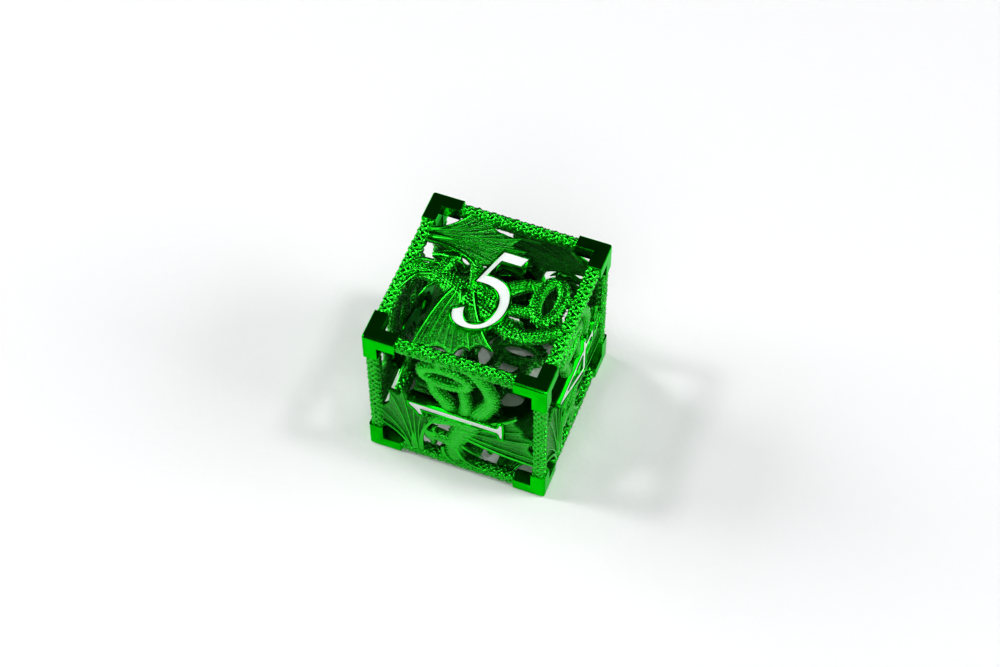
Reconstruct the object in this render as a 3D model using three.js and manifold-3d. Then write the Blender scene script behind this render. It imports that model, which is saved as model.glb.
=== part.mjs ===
// A hollow cast-metal gaming die: an open cube with smooth three-armed corner blocks, braided edge
// rails, and on each side a winged dragon screen that carries a serif numeral with an enamel inlay.
// Units are millimetres. The die stands on the side numbered 2, +Z is up and passes through the side
// numbered 5, and the origin is the middle of the side it stands on. The real die is one casting, so
// its elements meet face to face here with a thin joint between them.
import * as THREE from "three";
import { RoundedBoxGeometry } from "three/addons/geometries/RoundedBoxGeometry.js";
import { mergeVertices } from "three/addons/utils/BufferGeometryUtils.js";
import Module from "manifold-3d";

// Overall sizes
const EDGE = 20; // cube edge, over the corner blocks
const BAR = 1.6; // width and depth of every frame bar
const CORNER_ARM = 3.6; // length of a corner block's arm, from the cube's outer corner
const EDGE_RADIUS = 0.35; // rounding of the cube's outer edges
const JOINT_GAP = 0.05; // joint between neighbouring elements of the casting
const FACE_STEP = 0.12; // how far rails and screens lie below the corner blocks' faces

// Rails
const RIDGE_PITCH = 1.05; // spacing of the crosswise ridges of the braid
const RIDGE_DEPTH = 0.14; // depth of the valleys between them

// Numerals
const NUMERAL_HEIGHT = 10.4; // height of a numeral's enamel
const NUMERAL_STEP = 0.05; // how far a numeral's rim lies below the corner blocks' faces
const RIM = 0.19; // width of the metal rim round the enamel
const ENAMEL_DEPTH = 0.5; // depth of the pocket that holds the enamel
const ENAMEL_SINK = 0.16; // how far the enamel lies below the rim
const ENAMEL_GAP = 0.02; // clearance round the enamel

// Dragon screen
const MEMBRANE_STEP = 0.5; // how far a wing's membrane lies below the screen's highest surface
const MEMBRANE_THICKNESS = 0.6;
const FINGER_WIDTH = 0.34; // width of a wing finger at the wrist
const FINGER_TIP = 0.16; // width of a wing finger at its tip

// Fineness of round stretches
const GLYPH_STEPS = 5; // segments of each curve in a numeral
const ART_STEPS = 4; // segments of each curve in a wing's outline
const RIBBON_STEPS = 9; // segments along a body ribbon
const RING_STEPS = 16; // segments round the tail's ring
const ROUND_STEPS = 2; // segments across a rounded edge

const HALF = EDGE / 2;
const WINDOW_HALF = HALF - BAR - JOINT_GAP; // the screen fills the window between the bars
const SCREEN_TOP = -FACE_STEP;
const SCREEN_BOTTOM = -BAR;
const ART_GRID = 10; // the screen is drawn on a grid whose window edge is at 10
const CAP_HEIGHT = 10; // numerals are drawn 10 high, centred on 0
const ART = WINDOW_HALF / ART_GRID;

const COLOURS = {
  smoothGreen: { color: 0x067d1c, roughness: 0.2, metalness: 1 },
  braidGreen: { color: 0x07951f, roughness: 0.32, metalness: 1 },
  dragonGreen: { color: 0x079a22, roughness: 0.36, metalness: 1 },
  enamelWhite: { color: 0xf4f5f2, roughness: 0.3, metalness: 0 },
};

const wasm = await Module();
wasm.setup();

// ---- Solids -------------------------------------------------------------------------------------

/** A closed three.js geometry as a manifold-3d solid. */
function solidOf(geometry) {
  const bare = geometry.clone();
  bare.deleteAttribute("normal");
  bare.deleteAttribute("uv");
  const merged = mergeVertices(bare, 1e-5);
  return new wasm.Manifold(
    new wasm.Mesh({
      numProp: 3,
      vertProperties: new Float32Array(merged.attributes.position.array),
      triVerts: new Uint32Array(merged.index.array),
    }),
  );
}

/** A manifold-3d solid as a three.js geometry. */
function geometryOf(solid) {
  const mesh = solid.getMesh();
  return new THREE.BufferGeometry()
    .setAttribute("position", new THREE.BufferAttribute(mesh.vertProperties, mesh.numProp))
    .setIndex(new THREE.BufferAttribute(mesh.triVerts, 1));
}

/** A flat outline extruded between two heights of the face's own frame. */
function slab(shape, low, high, curveSegments = ART_STEPS) {
  const geometry = new THREE.ExtrudeGeometry(shape, {
    depth: high - low,
    bevelEnabled: false,
    curveSegments,
  });
  return solidOf(geometry.translate(0, 0, low));
}

/** A box given by its two extreme corners. */
function block(low, high) {
  const size = high.clone().sub(low);
  const centre = high.clone().add(low).multiplyScalar(0.5);
  const geometry = new THREE.BoxGeometry(size.x, size.y, size.z);
  return solidOf(geometry.translate(centre.x, centre.y, centre.z));
}

const union = (solids) => solids.reduce((sum, solid) => sum.add(solid));

/** The largest connected body of a solid, so that a cut leaves no loose crumbs. */
function largestBody(solid) {
  const bodies = solid.decompose();
  return bodies.reduce((best, body) => (body.volume() > best.volume() ? body : best));
}

// ---- Outlines -----------------------------------------------------------------------------------

/** Moves every point of a closed outline outwards (to the right of its direction) by a distance. */
function grow(points, distance) {
  const count = points.length;
  return points.map((point, i) => {
    const before = point.clone().sub(points[(i + count - 1) % count]).normalize();
    const after = points[(i + 1) % count].clone().sub(point).normalize();
    const mitre = new THREE.Vector2(before.y + after.y, -before.x - after.x);
    return point.clone().addScaledVector(mitre, (2 * distance) / mitre.lengthSq());
  });
}

/** A shape with straight sides from a closed outline and its holes, all grown by a distance. */
function shapeOf(outline, holes, distance = 0) {
  const turn = (points, clockwise) =>
    THREE.ShapeUtils.isClockWise(points) === clockwise ? points : points.slice().reverse();
  const shape = new THREE.Shape(grow(turn(outline, false), distance));
  shape.holes = holes.map((hole) => new THREE.Path(grow(turn(hole, true), distance)));
  return shape;
}

/** Points of a path, without the repeated last one. */
function pathPoints(path, steps) {
  const points = path.getPoints(steps);
  const closed = points[0].distanceTo(points[points.length - 1]) < 1e-9;
  return closed ? points.slice(0, -1) : points;
}

/** A ribbon along a smooth line through points of the art grid, with a half width at each end. */
function ribbon(points, startHalf, endHalf, distance = 0) {
  const line = new THREE.SplineCurve(points.map(([x, y]) => new THREE.Vector2(x * ART, y * ART)));
  const left = [];
  const right = [];
  for (let i = 0; i <= RIBBON_STEPS; i++) {
    const t = i / RIBBON_STEPS;
    const centre = line.getPoint(t);
    const along = line.getTangent(t);
    const half = THREE.MathUtils.lerp(startHalf, endHalf, t) * ART + distance;
    const across = new THREE.Vector2(-along.y, along.x).multiplyScalar(half);
    left.push(centre.clone().add(across));
    right.push(centre.clone().sub(across));
  }
  return new THREE.Shape([...right, ...left.reverse()]);
}

// ---- Frame --------------------------------------------------------------------------------------

/** Corner block at +X +Y +Z: three square arms cut from the cube with rounded edges. */
function cornerBlock() {
  const cube = solidOf(new RoundedBoxGeometry(EDGE, EDGE, EDGE, ROUND_STEPS, EDGE_RADIUS));
  const inner = HALF - BAR;
  const reach = HALF - CORNER_ARM;
  const outer = new THREE.Vector3(EDGE, EDGE, EDGE);
  const arms = [
    block(new THREE.Vector3(reach, inner, inner), outer),
    block(new THREE.Vector3(inner, reach, inner), outer),
    block(new THREE.Vector3(inner, inner, reach), outer),
  ];
  return cube.intersect(union(arms));
}

/** Outline of a bar along X with ridges on its upper side, between an inner and an outer height. */
function ridgedOutline(length, inner, outer) {
  const ridges = Math.max(1, Math.round(length / RIDGE_PITCH));
  const pitch = length / ridges;
  const shape = new THREE.Shape();
  shape.moveTo(-length / 2, inner);
  shape.lineTo(length / 2, inner);
  for (let i = ridges; i > 0; i--) {
    const x = -length / 2 + i * pitch;
    shape.lineTo(x, outer - RIDGE_DEPTH);
    shape.lineTo(x - pitch / 2, outer);
  }
  shape.lineTo(-length / 2, outer - RIDGE_DEPTH);
  return shape;
}

/** Rail along X at +Y +Z, with the braid's ridges on its two outward sides. */
function braidedRail() {
  const length = EDGE - 2 * (CORNER_ARM + JOINT_GAP);
  const inner = HALF - BAR;
  const outer = HALF - FACE_STEP;
  const geometry = new THREE.ExtrudeGeometry(ridgedOutline(length, inner, outer), {
    depth: outer - inner,
    bevelEnabled: false,
  });
  const upper = solidOf(geometry.clone().translate(0, 0, inner));
  const side = solidOf(geometry.clone().rotateX(Math.PI / 2).translate(0, outer, 0));
  return upper.intersect(side);
}

// ---- Numerals -----------------------------------------------------------------------------------

/** Outlines of the six numerals, drawn CAP_HEIGHT high and centred on the face. */
const GLYPHS = {
  1: (s) => {
    s.moveTo(0.4, 5);
    s.lineTo(-0.1, 5);
    s.quadraticCurveTo(-0.6, 4.35, -1.45, 3.95);
    s.lineTo(-1.35, 3.55);
    s.lineTo(-0.4, 3.8);
    s.lineTo(-0.4, -4.3);
    s.quadraticCurveTo(-0.5, -4.7, -1.25, -4.72);
    s.lineTo(-1.25, -5);
    s.lineTo(1.25, -5);
    s.lineTo(1.25, -4.72);
    s.quadraticCurveTo(0.5, -4.7, 0.4, -4.3);
  },
  2: (s) => {
    s.moveTo(-2.45, 2.5);
    s.bezierCurveTo(-2.3, 4.1, -1.2, 5, 0.2, 5);
    s.bezierCurveTo(1.7, 5, 2.6, 4, 2.6, 2.6);
    s.bezierCurveTo(2.6, 0.7, 1, -1.1, -1, -3.8);
    s.lineTo(1.5, -3.8);
    s.quadraticCurveTo(2.3, -3.8, 2.55, -2.7);
    s.lineTo(2.95, -2.7);
    s.lineTo(2.45, -5);
    s.lineTo(-2.7, -5);
    s.lineTo(-2.7, -4.6);
    s.bezierCurveTo(-0.3, -1.8, 1.35, 0.4, 1.35, 2.4);
    s.bezierCurveTo(1.35, 3.5, 0.85, 4.1, 0, 4.1);
    s.bezierCurveTo(-0.8, 4.1, -1.4, 3.5, -1.6, 2.3);
  },
  3: (s) => {
    s.moveTo(-2.3, 3.2);
    s.bezierCurveTo(-1.9, 4.4, -1.05, 5, 0.1, 5);
    s.bezierCurveTo(1.4, 5, 2.2, 4.2, 2.2, 3);
    s.bezierCurveTo(2.2, 1.9, 1.6, 1.2, 0.9, 0.8);
    s.bezierCurveTo(2, 0.3, 2.55, -0.7, 2.55, -1.9);
    s.bezierCurveTo(2.55, -3.9, 1.1, -5, -0.7, -5);
    s.bezierCurveTo(-1.8, -5, -2.55, -4.5, -2.55, -3.5);
    s.lineTo(-1.55, -3.1);
    s.bezierCurveTo(-1.45, -3.9, -1.05, -4.25, -0.45, -4.25);
    s.bezierCurveTo(0.8, -4.25, 1.45, -3.3, 1.45, -1.9);
    s.bezierCurveTo(1.45, -0.5, 0.6, 0.15, -0.9, 0.15);
    s.lineTo(-0.9, 0.75);
    s.bezierCurveTo(0.4, 0.85, 1.1, 1.7, 1.1, 2.8);
    s.bezierCurveTo(1.1, 3.7, 0.65, 4.15, -0.1, 4.15);
    s.bezierCurveTo(-0.8, 4.15, -1.4, 3.75, -1.75, 2.95);
  },
  4: (s) => {
    s.moveTo(1.4, 5);
    s.lineTo(0.75, 5);
    s.lineTo(-2.95, -2);
    s.lineTo(-2.95, -2.75);
    s.lineTo(0.4, -2.75);
    s.lineTo(0.4, -4.3);
    s.quadraticCurveTo(0.3, -4.7, -0.4, -4.72);
    s.lineTo(-0.4, -5);
    s.lineTo(2.2, -5);
    s.lineTo(2.2, -4.72);
    s.quadraticCurveTo(1.5, -4.7, 1.4, -4.3);
    s.lineTo(1.4, -2.75);
    s.lineTo(2.7, -2.75);
    s.lineTo(2.7, -1.9);
    s.lineTo(1.4, -1.9);
    const counter = new THREE.Path();
    counter.moveTo(0.4, 2.7);
    counter.lineTo(0.4, -1.9);
    counter.lineTo(-2, -1.9);
    s.holes.push(counter);
  },
  5: (s) => {
    s.moveTo(-0.2, 5);
    s.lineTo(-1.6, 0.6);
    s.bezierCurveTo(0.6, 0.95, 1.6, 0, 1.6, -1.7);
    s.bezierCurveTo(1.6, -3.2, 0.9, -4.4, -0.3, -4.4);
    s.bezierCurveTo(-1, -4.4, -1.45, -3.7, -1.5, -2.6);
    s.lineTo(-2.5, -3.3);
    s.bezierCurveTo(-2.5, -4.4, -1.7, -5, -0.7, -5);
    s.bezierCurveTo(1.1, -5, 2.5, -3.6, 2.5, -1.4);
    s.bezierCurveTo(2.5, 0.8, 1.1, 1.95, -0.8, 1.65);
    s.lineTo(-0.05, 3.85);
    s.lineTo(2, 3.85);
    s.lineTo(2.45, 5);
  },
  6: (s) => {
    s.moveTo(2, 5);
    s.bezierCurveTo(-0.9, 4.3, -2.65, 1.9, -2.65, -1.3);
    s.bezierCurveTo(-2.65, -3.7, -1.5, -5, 0.05, -5);
    s.bezierCurveTo(1.7, -5, 2.65, -3.8, 2.65, -1.95);
    s.bezierCurveTo(2.65, -0.1, 1.7, 0.95, 0.3, 0.95);
    s.bezierCurveTo(-0.4, 0.95, -1, 0.7, -1.35, 0.2);
    s.bezierCurveTo(-1, 2.2, 0.3, 3.8, 2.2, 4.5);
    const counter = new THREE.Path();
    counter.absellipse(0.05, -2.1, 1.35, 2.15, 0, 2 * Math.PI, false, 0);
    s.holes.push(counter);
  },
};

/** A numeral's outline at its real size, grown by a distance. */
function numeralShape(digit, distance = 0) {
  const drawn = new THREE.Shape();
  GLYPHS[digit](drawn);
  drawn.closePath();
  const scale = NUMERAL_HEIGHT / CAP_HEIGHT;
  const sized = (path) => pathPoints(path, GLYPH_STEPS).map((p) => p.multiplyScalar(scale));
  return shapeOf(sized(drawn), drawn.holes.map(sized), distance);
}

/** The metal numeral, with a pocket for its enamel. */
function numeralTile(digit) {
  const top = -NUMERAL_STEP;
  const tile = slab(numeralShape(digit, RIM), SCREEN_BOTTOM, top);
  return tile.subtract(slab(numeralShape(digit, 0), top - ENAMEL_DEPTH, HALF));
}

/** The enamel in that pocket. */
function enamelInlay(digit) {
  const low = -NUMERAL_STEP - ENAMEL_DEPTH + ENAMEL_GAP;
  return slab(numeralShape(digit, -ENAMEL_GAP), low, -NUMERAL_STEP - ENAMEL_SINK);
}

// ---- Dragon screen, drawn on the art grid -------------------------------------------------------

/** Body: from the left rail to the middle of the face, widening to the chest. */
const bodyRibbon = (distance) =>
  ribbon([[-10.4, 0.2], [-8.2, 0.6], [-5.6, 0.1], [-3.2, -1], [-1.2, -1.8], [0.4, -2.3]], 1.2, 2.2, distance);

/** Throat that rises from the body to the head. */
const throatRibbon = (distance) =>
  ribbon([[-7.4, 0.2], [-6.1, 1.1], [-5.7, 2.2], [-6.4, 3.1]], 0.9, 0.75, distance);

/** Claw that hangs from the body beside the left rail. */
const clawRibbon = (distance) =>
  ribbon([[-7.6, -0.2], [-8.6, -1.2], [-9.3, -2.4], [-9.7, -4.1]], 0.55, 0.12, distance);

/** Head in profile: snout to the left, open jaws and two swept-back horns. */
function headShape(distance) {
  const at = (x, y) => [x * ART, y * ART];
  const s = new THREE.Shape();
  s.moveTo(...at(-8.7, 3.3));
  s.quadraticCurveTo(...at(-8.3, 2.7), ...at(-7.4, 2.8));
  s.lineTo(...at(-8.1, 2));
  s.quadraticCurveTo(...at(-6.9, 1.6), ...at(-6, 2.1));
  s.lineTo(...at(-5.3, 2.3));
  s.lineTo(...at(-4.1, 2.9));
  s.lineTo(...at(-5.2, 3.1));
  s.lineTo(...at(-4.6, 4.1));
  s.lineTo(...at(-5.9, 3.7));
  s.quadraticCurveTo(...at(-6.9, 4.2), ...at(-7.6, 3.8));
  s.quadraticCurveTo(...at(-8.3, 3.9), ...at(-8.7, 3.3));
  return shapeOf(pathPoints(s, ART_STEPS), [], distance);
}

/** Body, throat, head and claw as one slab between two heights, grown by a distance. */
function forepartSlab(low, high, distance) {
  const outlines = [bodyRibbon, throatRibbon, headShape, clawRibbon];
  return union(outlines.map((outline) => slab(outline(distance), low, high)));
}

/** Wing: a fan of finger tips round a wrist, scalloped between the tips. */
/** Turns a point on the numeral's grid into one on the screen's grid, for what meets the numeral. */
const onNumeral = (x, y) => [x, y].map((v) => (v * NUMERAL_HEIGHT) / CAP_HEIGHT / ART);

const WINGS = {
  upper_wing: {
    wrist: [-8.6, 5.7],
    tips: [
      [-3.4, 10.4],
      [0.9, 8.9],
      onNumeral(1.6, 5.78),
      onNumeral(0.8, 4.5),
      onNumeral(-0.48, 3.37),
      onNumeral(-2.09, 2.33),
    ],
    leading: { start: [-10.4, 6.6], bend: [-8, 6.9], end: [-6.2, 10.4] },
    trailing: { bend: [-5.2, 5.2], end: [-10.4, 4.8] },
  },
  lower_wing: {
    wrist: [-3.3, -1.2],
    tips: [[-4.4, -10.4], [-0.9, -10.4], [0.9, -8.7], [3.4, -7.9]],
    leading: { start: [-4.1, -0.6], bend: [-5.6, -3.6], end: [-5.9, -10.4] },
    trailing: { bend: [0.4, -5.2], end: [-1.6, -0.4] },
  },
};
const SCALLOP = 0.2; // how far the hem between two tips is drawn towards the wrist

function wingShape({ wrist, tips, leading, trailing }) {
  const at = ([x, y]) => [x * ART, y * ART];
  const s = new THREE.Shape();
  s.moveTo(...at(leading.start));
  s.quadraticCurveTo(...at(leading.bend), ...at(leading.end));
  s.lineTo(...at(tips[0]));
  tips.slice(1).forEach((tip, i) => {
    const middle = [0, 1].map((k) => (tip[k] + tips[i][k]) / 2);
    const hollow = [0, 1].map((k) => middle[k] + (wrist[k] - middle[k]) * SCALLOP);
    s.quadraticCurveTo(...at(hollow), ...at(tip));
  });
  s.quadraticCurveTo(...at(trailing.bend), ...at(trailing.end));
  return s;
}

/** Finger bone from the wrist to a tip. */
function fingerShape(wrist, tip) {
  const from = new THREE.Vector2(...wrist).multiplyScalar(ART);
  const to = new THREE.Vector2(...tip).multiplyScalar(ART);
  const along = to.clone().sub(from).normalize();
  const across = new THREE.Vector2(-along.y, along.x);
  const corner = (centre, width) => centre.clone().addScaledVector(across, width / 2);
  return new THREE.Shape([
    corner(from, -FINGER_WIDTH),
    corner(to, -FINGER_TIP),
    corner(to, FINGER_TIP),
    corner(from, FINGER_WIDTH),
  ]);
}

/** The wing's membrane with its fingers standing on it. */
function wingSolid(wing) {
  const membraneTop = SCREEN_TOP - MEMBRANE_STEP;
  const membrane = slab(wingShape(wing), membraneTop - MEMBRANE_THICKNESS, membraneTop);
  const fingers = wing.tips.map((tip) =>
    slab(fingerShape(wing.wrist, tip), membraneTop - MEMBRANE_THICKNESS / 2, SCREEN_TOP),
  );
  return union([membrane, ...fingers]);
}

/** Tail: a ring, and limbs that wind round it from the middle of the face to the right rail. */
function tailSolid() {
  const strip = (points, start, end) => slab(ribbon(points, start, end), SCREEN_BOTTOM, SCREEN_TOP);
  const ring = new THREE.Shape();
  ring.absellipse(7.3 * ART, 1.2 * ART, 2.3 * ART, 3.8 * ART, 0, 2 * Math.PI, false, 0);
  const eye = new THREE.Path();
  eye.absellipse(7.3 * ART, 1.2 * ART, 1 * ART, 2.4 * ART, 0, 2 * Math.PI, true, 0);
  ring.holes.push(eye);
  return union([
    strip([[-0.4, -2.2], [2.2, -3.2], [5, -4.6], [7.6, -4], [10.4, -2.2]], 1.5, 0.8),
    strip([[-0.4, 0.6], [1.8, 1.2], [3.6, 2.8], [5.4, 3.4], [6.8, 3.2]], 1.3, 0.7),
    strip([[-0.4, -0.6], [2.4, -1], [4.4, -1.6], [6.2, -1.6]], 1.1, 0.7),
    slab(ring, SCREEN_BOTTOM, SCREEN_TOP, RING_STEPS),
    strip([[8.8, 2], [10.4, 2.4]], 0.7, 0.7),
  ]);
}

/** The four dragon elements of one side, fitted round its numeral and to each other. */
function dragonElements(digit) {
  const tall = EDGE; // taller than any element, for cutting
  const window = block(
    new THREE.Vector3(-WINDOW_HALF, -WINDOW_HALF, SCREEN_BOTTOM),
    new THREE.Vector3(WINDOW_HALF, WINDOW_HALF, SCREEN_TOP),
  );
  const numeral = slab(numeralShape(digit, RIM + JOINT_GAP), -tall, tall);
  const leftSide = block(new THREE.Vector3(-EDGE, -EDGE, -tall), new THREE.Vector3(-JOINT_GAP / 2, EDGE, tall));
  const rightSide = leftSide.mirror([1, 0, 0]);
  const roomForHead = forepartSlab(-tall, tall, JOINT_GAP);
  const fit = (solid) => largestBody(solid.intersect(window).subtract(numeral));
  const fitWing = (wing) => fit(wingSolid(wing).subtract(roomForHead));
  return {
    dragon_head: fit(forepartSlab(SCREEN_BOTTOM, SCREEN_TOP, 0).intersect(leftSide)),
    dragon_tail: fit(tailSolid().intersect(rightSide)),
    upper_wing: fitWing(WINGS.upper_wing),
    lower_wing: fitWing(WINGS.lower_wing),
  };
}

// ---- Assembly -----------------------------------------------------------------------------------

const die = new THREE.Group();
die.position.z = HALF; // the elements are placed about the cube's centre

function addMesh(parent, name, solid, colour) {
  const mesh = new THREE.Mesh(geometryOf(solid), new THREE.MeshStandardMaterial(COLOURS[colour]));
  mesh.name = name;
  parent.add(mesh);
  return mesh;
}

/** Turns a mesh so that its own X, Y and Z axes point along three directions of the cube. */
function orient(object, x, y, z) {
  object.quaternion.setFromRotationMatrix(new THREE.Matrix4().makeBasis(x, y, z));
}

const SIDE_WORDS = {
  x: { 1: "right", [-1]: "left" },
  y: { 1: "back", [-1]: "front" },
  z: { 1: "top", [-1]: "bottom" },
};
const SIGNS = [1, -1];
const axisVector = (axis, sign) => new THREE.Vector3()["set" + axis.toUpperCase()](sign);

/** Eight corner blocks. */
function addCorners() {
  for (const sx of SIGNS)
    for (const sy of SIGNS)
      for (const sz of SIGNS) {
        const words = [SIDE_WORDS.z[sz], SIDE_WORDS.y[sy], SIDE_WORDS.x[sx]];
        const mesh = addMesh(die, "corner_" + words.join("_"), cornerBlock(), "smoothGreen");
        const [x, y, z] = [axisVector("x", sx), axisVector("y", sy), axisVector("z", sz)];
        if (sx * sy * sz > 0) orient(mesh, x, y, z);
        else orient(mesh, y, x, z);
      }
}

/** Twelve rails, named for the two sides that they join. */
function addRails() {
  for (const [along, a, b] of [["x", "z", "y"], ["y", "z", "x"], ["z", "y", "x"]])
    for (const sa of SIGNS)
      for (const sb of SIGNS) {
        const name = ["rail", SIDE_WORDS[a][sa], SIDE_WORDS[b][sb]].join("_");
        const mesh = addMesh(die, name, braidedRail(), "braidGreen");
        const [y, z] = [axisVector(a, sa), axisVector(b, sb)];
        orient(mesh, y.clone().cross(z), y, z);
      }
}

/** Each side's numeral, its outward direction and the direction that the numeral's top points in. */
const SIDES = [
  { digit: 5, outward: ["z", 1], up: ["y", 1] },
  { digit: 2, outward: ["z", -1], up: ["x", 1] },
  { digit: 1, outward: ["y", -1], up: ["x", -1] },
  { digit: 6, outward: ["y", 1], up: ["z", 1] },
  { digit: 4, outward: ["x", 1], up: ["y", -1] },
  { digit: 3, outward: ["x", -1], up: ["y", 1] },
];

function addSide({ digit, outward, up }) {
  const normal = axisVector(...outward);
  const upward = axisVector(...up);
  const side = new THREE.Group();
  orient(side, upward.clone().cross(normal), upward, normal);
  side.position.copy(normal).multiplyScalar(HALF);
  die.add(side);
  addMesh(side, "numeral_" + digit, numeralTile(digit), "smoothGreen");
  addMesh(side, "enamel_" + digit, enamelInlay(digit), "enamelWhite");
  for (const [name, solid] of Object.entries(dragonElements(digit)))
    addMesh(side, name + "_" + digit, solid, "dragonGreen");
}

addCorners();
addRails();
SIDES.forEach(addSide);

const root = new THREE.Group();
root.add(die);

export default root;
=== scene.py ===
"""Looks of a hollow cast-metal gaming die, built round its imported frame.

The frame gives every size. Each side of the die is drawn once in millimetres in a frame of its own,
with X to the numeral's right, Y to its top and Z outwards, zero in the plane of the corner blocks, and
is then turned to its place in metres. Shapes on a side use a drawing grid whose window edge is at 10.
"""
from __future__ import annotations

import itertools
import logging
import math
from collections.abc import Sequence
from dataclasses import dataclass, field
from enum import Enum

import bmesh
import bpy
from mathutils import Matrix, Vector
from mathutils.bvhtree import BVHTree

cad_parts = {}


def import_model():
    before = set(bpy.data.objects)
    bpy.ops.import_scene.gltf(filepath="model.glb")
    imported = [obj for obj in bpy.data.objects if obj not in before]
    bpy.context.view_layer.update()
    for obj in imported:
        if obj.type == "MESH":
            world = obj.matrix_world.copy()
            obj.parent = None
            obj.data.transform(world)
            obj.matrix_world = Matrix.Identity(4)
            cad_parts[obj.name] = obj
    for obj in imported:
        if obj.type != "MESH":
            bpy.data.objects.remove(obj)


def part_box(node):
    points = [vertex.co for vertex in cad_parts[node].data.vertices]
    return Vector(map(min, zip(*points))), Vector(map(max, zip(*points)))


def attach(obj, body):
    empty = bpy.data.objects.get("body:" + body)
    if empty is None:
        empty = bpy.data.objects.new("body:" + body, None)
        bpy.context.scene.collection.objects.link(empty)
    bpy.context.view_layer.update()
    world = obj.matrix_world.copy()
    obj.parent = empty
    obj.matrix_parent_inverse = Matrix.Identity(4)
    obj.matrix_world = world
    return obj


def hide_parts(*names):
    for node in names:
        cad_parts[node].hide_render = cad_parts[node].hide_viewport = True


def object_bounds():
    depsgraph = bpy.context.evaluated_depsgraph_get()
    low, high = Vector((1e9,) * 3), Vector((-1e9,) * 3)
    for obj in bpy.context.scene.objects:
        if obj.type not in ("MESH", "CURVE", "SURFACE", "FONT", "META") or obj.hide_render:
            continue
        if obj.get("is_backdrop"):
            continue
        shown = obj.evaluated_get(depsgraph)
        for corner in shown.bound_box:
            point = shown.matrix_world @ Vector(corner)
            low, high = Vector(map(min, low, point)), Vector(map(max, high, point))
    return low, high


LOG = logging.getLogger("die")
MM = 0.001
BODY = "root"
GRID = 10.0
CAP_HEIGHT = 10.0
SQUARENESS = 4.0  # power of the superellipse that a rail's braid winds round
RESTING_LIFT = (0.0, 0.0)

Colour = tuple[float, float, float]
Point = tuple[float, float]


# ---- Measures and places ------------------------------------------------------------------------


@dataclass(frozen=True)
class Measures:
    """Sizes of the die in millimetres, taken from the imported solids."""

    half: float
    bar: float
    arm: float
    face_step: float
    rail_length: float
    numeral_step: float
    numeral_height: float
    rim: float
    enamel_low: float
    enamel_high: float

    @classmethod
    def from_frame(cls) -> Measures:
        """Reads the sizes from the boxes of the nodes round the top side."""
        low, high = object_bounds()
        top = high.z
        corner_low, corner_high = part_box("corner_top_front_right")
        rail_low, rail_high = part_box("rail_top_front")
        numeral_low, numeral_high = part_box("numeral_5")
        enamel_low, enamel_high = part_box("enamel_5")
        return cls(
            half=(high.z - low.z) / 2 / MM,
            bar=(top - rail_low.z) / MM,
            arm=(corner_high.x - corner_low.x) / MM,
            face_step=(top - rail_high.z) / MM,
            rail_length=(rail_high.x - rail_low.x) / MM,
            numeral_step=(top - numeral_high.z) / MM,
            numeral_height=(enamel_high.y - enamel_low.y) / MM,
            rim=(numeral_high.y - enamel_high.y) / MM,
            enamel_low=(enamel_low.z - top) / MM,
            enamel_high=(enamel_high.z - top) / MM,
        )

    @property
    def unit(self) -> float:
        """Millimetres for one step of the drawing grid."""
        return (self.half - self.bar) / GRID

    @property
    def middle(self) -> float:
        """Height of the screen's middle plane in a side's frame."""
        return -(self.bar + self.face_step) / 2

    @property
    def thickness(self) -> float:
        """Half the thickness of the screen."""
        return (self.bar - self.face_step) / 2


@dataclass(frozen=True)
class Side:
    """One side of the die: its numeral, which way it faces and where the numeral's top points."""

    digit: int
    outward: Vector
    up: Vector

    def place(self, half: float) -> Matrix:
        """Turns millimetres in the side's frame into metres in the die's frame.

        Args:
            half: Half the cube's edge in millimetres.

        Returns:
            The matrix of the side.
        """
        turn = basis(self.up.cross(self.outward), self.up, self.outward)
        shift = Matrix.Translation(self.outward * half + Vector((0, 0, half)))
        return Matrix.Scale(MM, 4) @ shift @ turn


def basis(x: Vector, y: Vector, z: Vector) -> Matrix:
    """Returns the 4x4 matrix whose columns are three axes."""
    return Matrix((x, y, z)).transposed().to_4x4()


def axis(index: int, sign: int) -> Vector:
    """Returns the unit vector along axis 0, 1 or 2, with a sign."""
    vector = Vector((0, 0, 0))
    vector[index] = sign
    return vector


SIDES = (
    Side(5, axis(2, 1), axis(1, 1)),
    Side(2, axis(2, -1), axis(0, 1)),
    Side(1, axis(1, -1), axis(0, -1)),
    Side(6, axis(1, 1), axis(2, 1)),
    Side(4, axis(0, 1), axis(1, -1)),
    Side(3, axis(0, -1), axis(1, 1)),
)
SIDE_WORDS = ({1: "right", -1: "left"}, {1: "back", -1: "front"}, {1: "top", -1: "bottom"})


# ---- Node trees ---------------------------------------------------------------------------------


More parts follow.
